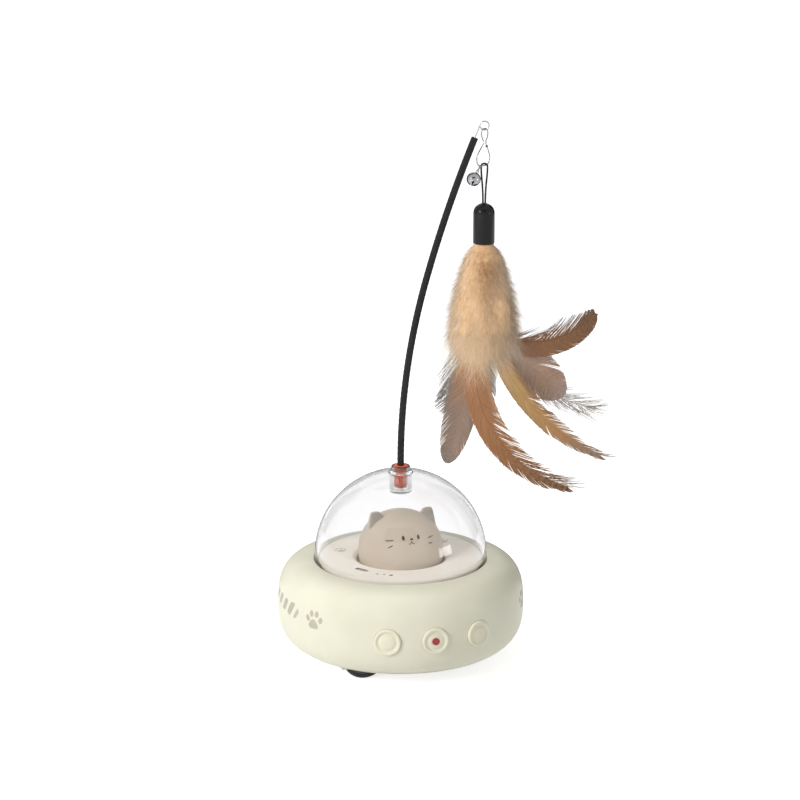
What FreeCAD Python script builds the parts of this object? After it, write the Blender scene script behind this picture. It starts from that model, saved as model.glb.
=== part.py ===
import FreeCAD, Part
import math
import os

# Feather cat toy: a round rolling base with a clear dome over a cat's head, a bent wand plugged
# into the top of the dome, and a feather refill on a wire clasp at the wand's tip.
# Millimetres, +Z up. The origin is the centre of the flat underside, and the buttons face -Y.

# Body
BODY_RADIUS = 57.5
BODY_HEIGHT = 43.2
WIDEST_HEIGHT = 21.6
UNDERSIDE_RADIUS = 30.7
LOWER_FULLNESS = 2.73
UPPER_FULLNESS = 2.99
SHELL_WALL = 2.0
SPLIT_HEIGHT = 3.5

# Clearances
FIT = 0.05
SLIDE = 0.2
LOOSE = 0.3

# Dome, with the wand socket at its top
DOME_RADIUS = 40.1
DOME_WALL = 1.6
DOME_RISE = 1.8
DOME_FLANGE = 2.9
FLANGE_THICK = 1.5
SOCKET_WALL = 2.1
SOCKET_DEPTH = 8.7
SOCKET_FLOOR = 2.0

# Deck and the well round the cat's head
DECK_RISE = 0.8
DECK_THICK = 2.0
WELL_RADIUS = 20.7
WELL_DEPTH = 5.0
WELL_CHAMFER = 1.9
DECK_SKIRT = 2.0
DECK_FLANGE = 1.9
DECK_EAR_RADIUS = 3.2
DECK_EAR_ANGLES = (0.0, 125.0, -125.0)

# Cat's head
HEAD_RADIUS = 19.8
HEAD_FOOT_RADIUS = 18.8
HEAD_WIDEST = 7.5
HEAD_HEIGHT = 26.8
HEAD_FULLNESS = 2.15
HEAD_WALL = 2.2
EAR_OUT = 12.9
EAR_HALF_WIDTH = 5.2
EAR_TIP_RADIUS = 1.6
EAR_THICK = 4.4

# Screws
SCREW_RADIUS = 1.1
SCREW_HEAD_RADIUS = 2.3
SCREW_HEAD = 1.4
SCREW_LENGTH = 8.0
BOSS_WALL = 1.9
COVER_SCREW_ANGLES = (180.0, 52.0, -52.0)
COVER_PAD_TOP = 5.0
COVER_PAD_EDGE = 0.6
COVER_BOSS_TOP = 20.0
GUSSET = 2.0
LIP_THICK = 1.5
LIP_RISE = 2.5

# Buttons, on the front of the body
BUTTON_RADIUS = 6.2
BUTTON_PROUD = 0.9
BUTTON_HEIGHT = 21.2
BUTTON_TURNS = (-23.5, -1.6, 20.6)
BUTTON_NAMES = ("left", "middle", "right")
BUTTON_TRAVEL = 0.6
BUTTON_DISH = 0.6
BUTTON_NUB = 3.3
BUTTON_FLANGE = 1.0
BUTTON_FLANGE_THICK = 1.2
BUTTON_SKIRT = 3.7
LENS_RADIUS = 1.7
SWITCH_SIZE = 6.0
SWITCH_BODY = 3.5
PLUNGER_RADIUS = 1.75
PLUNGER = 1.2
SWITCH_BOARD = 11.0
BOARD_THICK = 1.6
BRACKET_THICK = 2.0
BRACKET_FOOT = 9.0

# Drive wheels: the axles lie along Y
FLOOR_DROP = 5.0
WHEEL_RADIUS = 10.5
WHEEL_AXLE_X = -25.5
WHEEL_TRACK = 47.0
TYRE_WIDTH = 6.0
TYRE_THICK = 2.0
AXLE_RADIUS = 1.0
ARCH_GAP = 0.8
ARCH_WALL = 1.0

# Gear train of each wheel
GEAR_MODULE = 0.4
AXLE_TEETH = 18
SMALL_TEETH = 10
LARGE_TEETH = 30
PINION_TEETH = 10
GEAR_WIDTH = 1.8
GEAR_BACKLASH = 0.09
PRESSURE_ANGLE = 20.0
TRAIN_RISE = 50.0
MOTOR_RISE = 20.0
GEAR_PIN_RADIUS = 0.6
FRAME_WALL = 1.2
FRAME_GAP = 0.4
MOTOR_RADIUS = 6.0
MOTOR_LENGTH = 11.6
MOTOR_SHAFT_RADIUS = 0.5
FRAME_BASE = 1.2
FRAME_REACH = 5.2
FRAME_EDGE = 0.8
FRAME_FOOT = 6.0
FOOT_THICK = 1.6

# Ball caster
CASTER_X = 30.0
CASTER_BALL = 5.0
CASTER_WALL = 1.8
CASTER_LIP = 2.8
CASTER_CROWN = 1.5
CASTER_FLANGE = 2.2
CASTER_FLANGE_DROP = 0.8
CASTER_FLANGE_THICK = 1.4

# Cell, boards and port
CELL_RADIUS = 7.1
CELL_LENGTH = 50.0
CELL_X = 7.6
HOLDER_WALL = 1.4
MAIN_BOARD_HEIGHT = 24.0
MAIN_BOARD_X = (-28.0, 24.0)
MAIN_BOARD_Y = (-24.0, 30.0)
BOARD_POST_RADIUS = 2.4
BOARD_POSTS = ((-6.0, -28.0), (-6.0, 28.0), (19.5, -28.0), (19.5, 28.0))
PORT_WIDTH = 9.0
PORT_HEIGHT = 3.3
PORT_LENGTH = 7.3
PORT_TONGUE = 12.0

# Wand: foot in the socket, long bend, flatter bend, cut tip. It leans towards this bearing.
LEAN_BEARING = -17.5
PLUG_RADIUS = 3.0
PLUG_HEAD_RADIUS = 3.5
PLUG_HEAD = 0.7
COLLAR_WALL = 1.3
COLLAR_HEIGHT = 2.5
WAND_RADIUS = 1.6
WAND_INSET = 6.0
WAND_STRAIGHT = 89.0
FIRST_BEND_RADIUS = 330.0
FIRST_BEND = 15.2
SECOND_BEND_RADIUS = 620.0
SECOND_BEND = 6.4
CORE_RADIUS = 0.3
CORE_INSET = 3.0
CORE_LENGTH = 6.8
EYE_RADIUS = 2.0
EYE_TURN = 318.0

# Wire clasp, in an upright plane turned from the wand's own plane
CLASP_WIRE = 0.28
CLASP_TURN = 38.0
CLASP_DROP = 17.0
CLASP_GAP = 0.1
SLEEVE_RADIUS = 0.62
SLEEVE_SHARE = 0.1

# Bell, leaning on the elastic loop
BELL_RADIUS = 3.25
BELL_WALL = 0.35
BELL_SLOT = 0.8
BELL_LEAN = 26.0
BELL_EYE = 0.65
BELL_EYE_WIRE = 0.2
BELL_SEAT = -2.5
LINK_RADIUS = 1.5
LINK_WIRE = 0.22
PELLET_RADIUS = 0.9

# Elastic loop and feather cap
ELASTIC_DIAMETER = 0.9
ELASTIC_GAP = 0.25
CAP_RADIUS = 4.87
CAP_HEIGHT = 18.5
CAP_WALL = 0.95
CAP_SHOULDER = 4.6
CAP_DROP = 17.15
CAP_HOLE = 1.1
BINDING_LENGTH = 12.5

# Plume and feathers
PLUME_LENGTH = 54.8
PLUME_RADIUS = 16.6
BLADE_THICK = 0.8
BLADE_CLEAR = 0.35

V = FreeCAD.Vector
UP = V(0, 0, 1)
ORIGIN = V(0, 0, 0)

# Heights and radii that follow from the sizes above
FLOOR = -FLOOR_DROP
TOP_FLAT_RADIUS = DOME_RADIUS - 1.8
TOP_OPENING = DOME_RADIUS + 0.25
DOME_CENTRE = BODY_HEIGHT + DOME_RISE
ROOF = BODY_HEIGHT - SHELL_WALL
FLANGE_TOP = ROOF - SLIDE
FLANGE_BOTTOM = FLANGE_TOP - FLANGE_THICK
DECK_TOP = BODY_HEIGHT + DECK_RISE
DECK_RADIUS = DOME_RADIUS - DOME_WALL - SLIDE
WELL_FLOOR = DECK_TOP - WELL_DEPTH
DOME_TOP = DOME_CENTRE + DOME_RADIUS
RIM_TOP = DOME_TOP + 0.1
SOCKET_BOTTOM = RIM_TOP - SOCKET_DEPTH
AXLE_HEIGHT = FLOOR + WHEEL_RADIUS


def polar(radius, degrees, height=0.0):
    """Point at a radius and bearing round the body's axis."""
    a = math.radians(degrees)
    return V(radius * math.cos(a), radius * math.sin(a), height)


def rod(radius, start, end):
    """Solid cylinder from one point to another."""
    return Part.makeCylinder(radius, (end - start).Length, start, end - start)


def tube(outer, inner, start, end):
    """Cylinder with a bore right through it."""
    reach = (end - start).normalize()
    return rod(outer, start, end).cut(rod(inner, start - reach, end + reach))


def disc(radius, low, high, x=0.0, y=0.0):
    """Upright cylinder between two heights."""
    return rod(radius, V(x, y, low), V(x, y, high))


def block(x, y, z):
    """Box given by its low and high side along each axis."""
    return Part.makeBox(x[1] - x[0], y[1] - y[0], z[1] - z[0], V(x[0], y[0], z[0]))


def fused(shapes):
    """One clean solid out of shapes that meet."""
    whole = shapes[0]
    for shape in shapes[1:]:
        whole = whole.fuse(shape)
    return whole.removeSplitter()


def cut(shape, tools):
    """The shape less each tool."""
    for tool in tools:
        shape = shape.cut(tool)
    return shape


def spun(points):
    """Solid of revolution about Z from a closed outline of (radius, height) points."""
    ring = [V(r, 0, z) for r, z in points]
    face = Part.Face(Part.makePolygon(ring + ring[:1]))
    return face.revolve(ORIGIN, UP, 360)


def routed(points, shares=0.45):
    """Wire of straight runs joined by tangent arcs, each as large as its two runs allow."""
    edges = []
    radii = []
    start = points[0]
    for before, corner, after in zip(points, points[1:], points[2:]):
        back = (before - corner)
        ahead = (after - corner)
        reach = shares * min(back.Length, ahead.Length)
        back.normalize()
        ahead.normalize()
        half_turn = (math.pi - back.getAngle(ahead)) / 2
        radius = reach / math.tan(half_turn)
        radii.append(round(radius, 2))
        to_middle = (back + ahead).normalize()
        middle = corner + to_middle * (radius / math.cos(half_turn) - radius)
        enter = corner + back * reach
        leave = corner + ahead * reach
        edges.append(Part.LineSegment(start, enter).toShape())
        edges.append(Part.Arc(enter, middle, leave).toShape())
        start = leave
    edges.append(Part.LineSegment(start, points[-1]).toShape())
    return Part.Wire(edges), radii


def swept(wire, radius):
    """Round wire or cord along a path."""
    first = wire.Edges[0]
    start = first.valueAt(first.FirstParameter)
    heading = first.tangentAt(first.FirstParameter)
    ring = Part.Wire(Part.makeCircle(radius, start, heading))
    return wire.makePipeShell([ring], True, False)


def leaned(shape):
    """Turn a shape built in the wand's plane to the bearing that the wand leans towards."""
    return shape.rotated(ORIGIN, UP, LEAN_BEARING)


def screw(head_top, shaft_length):
    """Pan head screw standing upright, its head's upper face at the point given."""
    head = rod(SCREW_HEAD_RADIUS, head_top - UP * SCREW_HEAD, head_top)
    shaft = rod(SCREW_RADIUS, head_top, head_top + UP * shaft_length)
    return head.fuse(shaft)


# The body: one outline for its outside, and the same drawn in by the wall for its inside

def outline_radius(height, inset=0.0):
    """Radius of the body's outline at a height, drawn in by inset."""
    if height <= WIDEST_HEIGHT:
        flat = UNDERSIDE_RADIUS
        fullness = LOWER_FULLNESS
        share = (WIDEST_HEIGHT - height) / (WIDEST_HEIGHT - inset)
    else:
        flat = TOP_FLAT_RADIUS
        fullness = UPPER_FULLNESS
        share = (height - WIDEST_HEIGHT) / (BODY_HEIGHT - inset - WIDEST_HEIGHT)
    return flat + (BODY_RADIUS - inset - flat) * (1 - share**fullness) ** (1 / fullness)


def bulge(inset):
    """Solid inside the body's outline, drawn in by inset."""
    steps = 8
    low = []
    high = []
    for i in range(steps + 1):
        t = math.pi / 2 * i / steps
        across = math.sin(t) ** (2 / LOWER_FULLNESS)
        down = math.cos(t) ** (2 / LOWER_FULLNESS)
        wide = BODY_RADIUS - inset
        low.append(V(UNDERSIDE_RADIUS + (wide - UNDERSIDE_RADIUS) * across, 0,
                     WIDEST_HEIGHT - (WIDEST_HEIGHT - inset) * down))
        across = math.cos(t) ** (2 / UPPER_FULLNESS)
        rise = math.sin(t) ** (2 / UPPER_FULLNESS)
        high.append(V(TOP_FLAT_RADIUS + (wide - TOP_FLAT_RADIUS) * across, 0,
                      WIDEST_HEIGHT + (BODY_HEIGHT - inset - WIDEST_HEIGHT) * rise))
    lower = Part.BSplineCurve()
    lower.interpolate(Points=low, InitialTangent=V(1, 0, 0), FinalTangent=UP)
    upper = Part.BSplineCurve()
    upper.interpolate(Points=high, InitialTangent=UP, FinalTangent=V(-1, 0, 0))
    foot = V(0, 0, low[0].z)
    crown = V(0, 0, high[-1].z)
    edges = [
        Part.LineSegment(foot, low[0]).toShape(),
        lower.toShape(),
        upper.toShape(),
        Part.LineSegment(high[-1], crown).toShape(),
        Part.LineSegment(crown, foot).toShape(),
    ]
    return Part.Face(Part.Wire(edges)).revolve(ORIGIN, UP, 360)


OUTSIDE = bulge(0.0)
INSIDE = bulge(SHELL_WALL)
MID_WALL = bulge(SHELL_WALL / 2)
ROOM = bulge(SHELL_WALL + FIT)


class ButtonPlace:
    """Where a button sits: the point on the body's side, and the outward and inward directions."""

    def __init__(self, turn):
        step = 0.5
        rise = outline_radius(BUTTON_HEIGHT + step) - outline_radius(BUTTON_HEIGHT - step)
        self.tilt = math.degrees(math.atan2(rise, 2 * step))
        self.bearing = turn - 90.0
        self.surface = polar(outline_radius(BUTTON_HEIGHT), self.bearing, BUTTON_HEIGHT)
        tilt = math.radians(self.tilt)
        level = polar(1.0, self.bearing)
        self.out = level * math.cos(tilt) - UP * math.sin(tilt)

    def at(self, depth):
        """Point on the button's axis, this far inside the body's surface."""
        return self.surface - self.out * depth

    def place(self, shape):
        """Move a shape from its own frame, +X outwards and the surface at X 0, to its place."""
        shape = shape.rotated(ORIGIN, V(0, 1, 0), self.tilt)
        shape = shape.rotated(ORIGIN, UP, self.bearing)
        return shape.translated(self.surface)


BUTTONS = [ButtonPlace(turn) for turn in BUTTON_TURNS]


def wheel_centre(side):
    """Middle of a wheel; side is -1 for the front one and 1 for the rear one."""
    return V(WHEEL_AXLE_X, side * WHEEL_TRACK / 2, AXLE_HEIGHT)


def arch_solid(side, gap, reach_in, reach_out):
    """Cylinder round a wheel, from reach_in inside its inner face to reach_out past its outer."""
    centre = wheel_centre(side)
    inner = V(centre.x, side * (WHEEL_TRACK - TYRE_WIDTH) / 2 - side * reach_in, centre.z)
    outer = V(centre.x, side * (WHEEL_TRACK + TYRE_WIDTH) / 2 + side * reach_out, centre.z)
    return rod(WHEEL_RADIUS + gap, inner, outer)


def body_shell():
    """Upper casing: open below and at the crown, with bosses, button holes and the port slot."""
    wall = OUTSIDE.cut(INSIDE).common(disc(BODY_RADIUS + 1, SPLIT_HEIGHT, BODY_HEIGHT + 1))
    wall = wall.cut(disc(TOP_OPENING, ROOF - 1, BODY_HEIGHT + 1))
    pieces = [wall]
    for bearing in COVER_SCREW_ANGLES:
        foot = polar(cover_screw_reach(), bearing)
        pieces.append(disc(SCREW_RADIUS + BOSS_WALL, COVER_PAD_TOP, COVER_BOSS_TOP, foot.x, foot.y))
        gusset = block((cover_screw_reach(), BODY_RADIUS), (-GUSSET / 2, GUSSET / 2),
                       (COVER_PAD_TOP + LIP_RISE, COVER_BOSS_TOP))
        pieces.append(gusset.rotated(ORIGIN, UP, bearing).common(MID_WALL))
    for bearing in DECK_EAR_ANGLES:
        foot = polar(deck_screw_reach(), bearing)
        boss = disc(SCREW_RADIUS + BOSS_WALL, FLANGE_BOTTOM, BODY_HEIGHT, foot.x, foot.y)
        pieces.append(boss.common(MID_WALL))
    shell = fused(pieces)
    holes = []
    for bearing in COVER_SCREW_ANGLES:
        foot = polar(cover_screw_reach(), bearing)
        holes.append(disc(SCREW_RADIUS + FIT, COVER_PAD_TOP - 1, COVER_PAD_TOP + SCREW_LENGTH,
                          foot.x, foot.y))
    for bearing in DECK_EAR_ANGLES:
        foot = polar(deck_screw_reach(), bearing)
        holes.append(disc(SCREW_RADIUS + FIT, FLANGE_BOTTOM - 1, BODY_HEIGHT - 1.2,
                          foot.x, foot.y))
    for spot in BUTTONS:
        holes.append(rod(BUTTON_RADIUS + SLIDE, spot.at(SHELL_WALL + 4), spot.at(-3)))
    for side in (-1, 1):
        holes.append(arch_solid(side, ARCH_GAP + ARCH_WALL + SLIDE, ARCH_WALL, ARCH_WALL + 1.2))
    holes.append(port_slot())
    return cut(shell, holes)


def lip_radius():
    """Outer radius of the cover's locating lip, just inside the shell's lower edge."""
    return outline_radius(SPLIT_HEIGHT, SHELL_WALL) - SLIDE


def cover_screw_reach():
    """Radius of the cover's screws, their pads just inside the shell's lower edge."""
    return lip_radius() - cover_pad_radius()


def cover_pad_radius():
    """Radius of the cover's raised pads under the shell's bosses."""
    return SCREW_RADIUS + BOSS_WALL + COVER_PAD_EDGE


def deck_screw_reach():
    """Radius of the deck's screws, just outside the dome's flange."""
    return DOME_RADIUS + DOME_FLANGE + SCREW_RADIUS + BOSS_WALL + SLIDE


def port_slot():
    """Opening in the rear wall for the charging plug."""
    grow = 0.5
    width = PORT_WIDTH / 2 + grow
    height = PORT_HEIGHT / 2 + grow
    middle = port_height()
    slot = block((-width, width), (BODY_RADIUS - 8, BODY_RADIUS + 2),
                 (middle - height, middle + height))
    upright = [e for e in slot.Edges if abs(e.BoundBox.YLength - 10) < 0.01]
    return slot.makeFillet(height * 0.95, upright)


def port_height():
    """Height of the charging port's middle, on the main board."""
    return MAIN_BOARD_HEIGHT + BOARD_THICK + PORT_HEIGHT / 2


def bottom_cover():
    """Lower casing: dished, with wheel arches, caster seat, screw pads and a locating lip."""
    low = disc(BODY_RADIUS + 1, -1, SPLIT_HEIGHT)
    pieces = [OUTSIDE.cut(INSIDE).common(low)]
    pieces.append(tube(lip_radius(), lip_radius() - LIP_THICK, V(0, 0, SHELL_WALL),
                       V(0, 0, SPLIT_HEIGHT + LIP_RISE)))
    for side in (-1, 1):
        pieces.append(arch_solid(side, ARCH_GAP + ARCH_WALL, ARCH_WALL, ARCH_WALL + 1.0)
                      .common(disc(BODY_RADIUS, 1.0, BODY_HEIGHT)))
    for bearing in COVER_SCREW_ANGLES:
        foot = polar(cover_screw_reach(), bearing)
        pieces.append(disc(cover_pad_radius(), SHELL_WALL, COVER_PAD_TOP, foot.x, foot.y))
    for x, y in BOARD_POSTS:
        pieces.append(disc(BOARD_POST_RADIUS, 1.0, MAIN_BOARD_HEIGHT, x, y))
    pieces.append(disc(caster_cup_radius() + 1.2, 1.0, SHELL_WALL + 3.0, CASTER_X))
    cover = fused(pieces)
    holes = []
    for side in (-1, 1):
        holes.append(arch_solid(side, ARCH_GAP, SLIDE, 1.0))
        holes.append(gear_frame_pocket(side))
        holes.append(rod(AXLE_RADIUS + LOOSE, V(WHEEL_AXLE_X, 0, AXLE_HEIGHT),
                         V(WHEEL_AXLE_X, side * WHEEL_TRACK / 2, AXLE_HEIGHT)))
    for bearing in COVER_SCREW_ANGLES:
        foot = polar(cover_screw_reach(), bearing)
        holes.append(disc(SCREW_RADIUS + SLIDE, -1, COVER_PAD_TOP + 1, foot.x, foot.y))
        holes.append(disc(SCREW_HEAD_RADIUS + LOOSE, -1, cover_screw_seat(), foot.x, foot.y))
        holes.append(disc(SCREW_RADIUS + BOSS_WALL + SLIDE, COVER_PAD_TOP, BODY_HEIGHT, foot.x, foot.y))
    for x, y in BOARD_POSTS:
        holes.append(disc(SCREW_RADIUS + FIT, MAIN_BOARD_HEIGHT - SCREW_LENGTH, MAIN_BOARD_HEIGHT + 1,
                          x, y))
    holes.append(disc(caster_cup_radius() + SLIDE, -1, SHELL_WALL + 4, CASTER_X))
    holes.append(disc(caster_cup_radius() + CASTER_FLANGE + SLIDE, -1, caster_flange_top() + FIT, CASTER_X))
    for x, y in frame_screws(-1) + frame_screws(1) + bracket_screws() + holder_screws():
        holes.append(disc(SCREW_RADIUS + FIT, 0.8, SHELL_WALL + 1, x, y))
    return cut(cover, holes)


def cover_screw_seat():
    """Height at which the heads of the cover's screws bear."""
    return COVER_PAD_TOP - 1.8


def case_screws():
    """Screws that close the body from below, and the ones that pull the deck's ears up to the
    shell, clamping the dome's flange."""
    screws = []
    for bearing in COVER_SCREW_ANGLES:
        screws.append(screw(polar(cover_screw_reach(), bearing, cover_screw_seat()), SCREW_LENGTH))
    seat = FLANGE_BOTTOM - DECK_FLANGE
    for bearing in DECK_EAR_ANGLES:
        screws.append(screw(polar(deck_screw_reach(), bearing, seat), DECK_FLANGE + 2.2))
    return Part.makeCompound(screws)


# The dome and the deck inside it

def dome():
    """Clear dome with a clamped flange below and the wand socket hanging inside its top."""
    inner = DOME_RADIUS - DOME_WALL
    centre = V(0, 0, DOME_CENTRE)
    high = disc(BODY_RADIUS, DOME_CENTRE, DOME_TOP + 1)
    ball = Part.makeSphere(DOME_RADIUS, centre).common(high)
    skirt = disc(DOME_RADIUS, FLANGE_BOTTOM, DOME_CENTRE)
    flange = disc(DOME_RADIUS + DOME_FLANGE, FLANGE_BOTTOM, FLANGE_TOP)
    outer = PLUG_RADIUS + FIT + SOCKET_WALL
    boss = disc(outer, SOCKET_BOTTOM - SOCKET_FLOOR, RIM_TOP)
    boss = boss.makeFillet(0.9, [e for e in boss.Edges if e.BoundBox.ZMax < SOCKET_BOTTOM])
    hollow = Part.makeSphere(inner, centre).common(high).fuse(disc(inner, FLANGE_BOTTOM - 1, DOME_CENTRE))
    shell = fused([ball, skirt, flange]).cut(hollow)
    whole = fused([shell, boss])
    return whole.cut(disc(PLUG_RADIUS + FIT, SOCKET_BOTTOM, RIM_TOP + 1))


def deck_plate():
    """Floor under the dome: a chamfered ring, the well for the head, and ears for its screws."""
    skirt_inner = DECK_RADIUS - DECK_SKIRT
    flange_low = FLANGE_BOTTOM - DECK_FLANGE
    under = DECK_TOP - DECK_THICK
    well_under = WELL_FLOOR - DECK_THICK
    section = [
        (0, well_under),
        (WELL_RADIUS + DECK_THICK, well_under),
        (WELL_RADIUS + DECK_THICK, under - WELL_CHAMFER),
        (WELL_RADIUS + DECK_THICK + WELL_CHAMFER, under),
        (skirt_inner, under),
        (skirt_inner, flange_low),
        (DOME_RADIUS + DOME_FLANGE, flange_low),
        (DOME_RADIUS + DOME_FLANGE, FLANGE_BOTTOM),
        (DECK_RADIUS, FLANGE_BOTTOM),
        (DECK_RADIUS, DECK_TOP),
        (WELL_RADIUS + WELL_CHAMFER, DECK_TOP),
        (WELL_RADIUS, DECK_TOP - WELL_CHAMFER * 0.8),
        (WELL_RADIUS, WELL_FLOOR),
        (0, WELL_FLOOR),
    ]
    pieces = [spun(section)]
    holes = [disc(SCREW_RADIUS + SLIDE, well_under - 1, WELL_FLOOR + 1)]
    for bearing in DECK_EAR_ANGLES:
        foot = polar(deck_screw_reach(), bearing)
        ear = disc(DECK_EAR_RADIUS, flange_low, FLANGE_BOTTOM, foot.x, foot.y)
        web = block((DECK_RADIUS, deck_screw_reach()), (-DECK_EAR_RADIUS, DECK_EAR_RADIUS),
                    (flange_low, FLANGE_BOTTOM))
        pieces += [ear.common(ROOM), web.rotated(ORIGIN, UP, bearing)]
        holes.append(disc(SCREW_RADIUS + SLIDE, flange_low - 1, FLANGE_BOTTOM + 1, foot.x, foot.y))
    return cut(fused(pieces), holes)


def head_outline(inset):
    """Solid of the head without its ears, drawn in by inset."""
    widest = WELL_FLOOR + HEAD_WIDEST
    top = WELL_FLOOR + HEAD_HEIGHT - inset
    steps = 7
    side = []
    for i in range(steps + 1):
        t = math.pi / 2 * i / steps
        across = math.cos(t) ** (2 / HEAD_FULLNESS)
        rise = math.sin(t) ** (2 / HEAD_FULLNESS)
        side.append(V((HEAD_RADIUS - inset) * across, 0, widest + (top - widest) * rise))
    curve = Part.BSplineCurve()
    curve.interpolate(Points=side, InitialTangent=UP, FinalTangent=V(-1, 0, 0))
    foot = V(HEAD_FOOT_RADIUS - inset, 0, WELL_FLOOR)
    bow = Part.Arc(foot, V(HEAD_RADIUS - inset - 0.25, 0, WELL_FLOOR + HEAD_WIDEST / 2), side[0])
    edges = [
        Part.LineSegment(V(0, 0, WELL_FLOOR), foot).toShape(),
        bow.toShape(),
        curve.toShape(),
        Part.LineSegment(side[-1], V(0, 0, WELL_FLOOR)).toShape(),
    ]
    return Part.Face(Part.Wire(edges)).revolve(ORIGIN, UP, 360)


def ear(side):
    """Rounded triangular ear, upright, facing the front."""
    tip_z = WELL_FLOOR + HEAD_HEIGHT + 0.8
    tip = V(side * EAR_OUT, 0, tip_z - EAR_TIP_RADIUS)
    inner = V(side * (EAR_OUT - EAR_HALF_WIDTH - 1.5), 0, tip_z - 8.0)
    outer = V(side * (EAR_OUT + EAR_HALF_WIDTH - 1.4), 0, tip_z - 13.5)
    low = V(side * (EAR_OUT - 3.0), 0, tip_z - 14.0)
    face = Part.Face(Part.makePolygon([inner, tip, outer, low, inner]))
    flap = face.extrude(V(0, EAR_THICK, 0))
    crown = rod(EAR_TIP_RADIUS, tip, tip + V(0, EAR_THICK, 0))
    whole = flap.fuse(crown)
    return whole.translated(V(0, -EAR_THICK * 0.7, 0))


def cat_head():
    """Hollow head with two ears, and a boss inside that takes one screw from below."""
    hollow = head_outline(HEAD_WALL).common(disc(HEAD_RADIUS, WELL_FLOOR - 1, BODY_HEIGHT * 2))
    boss = disc(SCREW_RADIUS + BOSS_WALL, WELL_FLOOR, WELL_FLOOR + HEAD_HEIGHT - HEAD_WALL / 2)
    skin = fused([head_outline(0.0), ear(-1), ear(1)]).cut(hollow)
    whole = fused([skin, boss])
    return whole.cut(disc(SCREW_RADIUS + FIT, WELL_FLOOR - 1, WELL_FLOOR + SCREW_LENGTH + 1))


# Buttons, and the switches behind them

def button(spot, lit):
    """Round dished button with a middle nub, a flange inside the shell and a pusher."""
    inside = -SHELL_WALL - BUTTON_SKIRT
    rim = 1.1
    section = [
        (0, inside),
        (BUTTON_RADIUS + BUTTON_FLANGE, inside),
        (BUTTON_RADIUS + BUTTON_FLANGE, inside + BUTTON_FLANGE_THICK),
        (BUTTON_RADIUS, inside + BUTTON_FLANGE_THICK),
        (BUTTON_RADIUS, BUTTON_PROUD - 0.4),
        (BUTTON_RADIUS - 0.4, BUTTON_PROUD),
        (BUTTON_RADIUS - rim, BUTTON_PROUD),
        (BUTTON_RADIUS - rim - 0.7, BUTTON_PROUD - BUTTON_DISH),
        (BUTTON_NUB + 0.5, BUTTON_PROUD - BUTTON_DISH),
        (BUTTON_NUB - 0.3, BUTTON_PROUD - 0.1),
        (0, BUTTON_PROUD),
    ]
    cap = spun(section)
    if lit:
        cap = cap.cut(disc(LENS_RADIUS, inside - 1, BUTTON_PROUD + 1))
    return spot.place(cap.rotated(ORIGIN, V(0, 1, 0), 90))


def led_lens(spot):
    """Red light pipe through the middle button, with a domed end."""
    inside = -SHELL_WALL - BUTTON_SKIRT
    pipe = disc(LENS_RADIUS - 0.02, inside, BUTTON_PROUD + 0.35)
    pipe = pipe.makeFillet(0.3, [e for e in pipe.Edges if e.BoundBox.ZMin > BUTTON_PROUD])
    return spot.place(pipe.rotated(ORIGIN, V(0, 1, 0), 90))


def switch_depth():
    """Depth of the switch plunger's tip behind the body's surface, clear of the travel."""
    return SHELL_WALL + BUTTON_SKIRT + BUTTON_TRAVEL + FIT


def switches():
    """A square push switch with a round plunger behind each button."""
    front = -switch_depth() - PLUNGER
    half = SWITCH_SIZE / 2
    group = []
    for spot in BUTTONS:
        case = block((front - SWITCH_BODY, front), (-half, half), (-half, half))
        plunger = rod(PLUNGER_RADIUS, V(front, 0, 0), V(front + PLUNGER, 0, 0))
        group.append(spot.place(case.fuse(plunger).removeSplitter()))
    return Part.makeCompound(group)


def switch_back():
    """Depth of the back of the switches, where their boards begin."""
    return switch_depth() + PLUNGER + SWITCH_BODY


def switch_boards():
    """A small circuit board behind each switch."""
    half = SWITCH_BOARD / 2
    group = []
    for spot in BUTTONS:
        board = block((-switch_back() - BOARD_THICK, -switch_back()), (-half, half), (-half, half))
        group.append(spot.place(board))
    return Part.makeCompound(group)


def bracket_face():
    """Outer radius of the curved bracket, just inside the cover's lip."""
    return lip_radius() - LIP_THICK - SLIDE * 2


def bracket_screws():
    """Places of the bracket's two screws, on its feet."""
    spots = []
    for turn in (-1, 1):
        foot = polar(bracket_face() - 5.5, -90 + turn * 12.0)
        spots.append((foot.x, foot.y))
    return spots


def switch_bracket():
    """Curved upright bracket with a pad for each switch board, screwed to the bottom cover."""
    outer = bracket_face()
    inner = outer - BRACKET_THICK
    low = SHELL_WALL + FIT
    high = BUTTON_HEIGHT + SWITCH_BOARD / 2 + 2.0
    span = max(BUTTON_TURNS[2], -BUTTON_TURNS[0]) + 6.0
    wall = tube(outer, inner, V(0, 0, low), V(0, 0, high))
    wedge = sector(span, outer + 10, low - 1, high + 1)
    pieces = [wall.common(wedge)]
    for spot in BUTTONS:
        pad = rod(SWITCH_BOARD * 0.32, spot.at(switch_back() + BOARD_THICK), spot.at(switch_back() + 8.5))
        pieces.append(pad.cut(disc(inner + 0.5, low - 5, high + 5)))
    foot_ring = tube(outer - 0.5, outer - BRACKET_FOOT, V(0, 0, low), V(0, 0, low + FOOT_THICK))
    pieces.append(foot_ring.common(sector(20.0, outer + 10, low - 1, high + 1)))
    bracket = fused(pieces).common(ROOM)
    holes = [disc(SCREW_RADIUS + SLIDE, low - 1, low + 3, x, y) for x, y in bracket_screws()]
    return cut(bracket, holes)


def sector(half_angle, radius, low, high):
    """Wedge about the front of the body, between two heights."""
    wedge = Part.makeCylinder(radius, high - low, V(0, 0, low), UP, 2 * half_angle)
    return wedge.rotated(ORIGIN, UP, -90 - half_angle)


# Drive: a motor, a two-stage gear train and a wheel on each side

def involute(angle):
    """Involute function of an angle in radians."""
    return math.tan(angle) - angle


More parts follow.
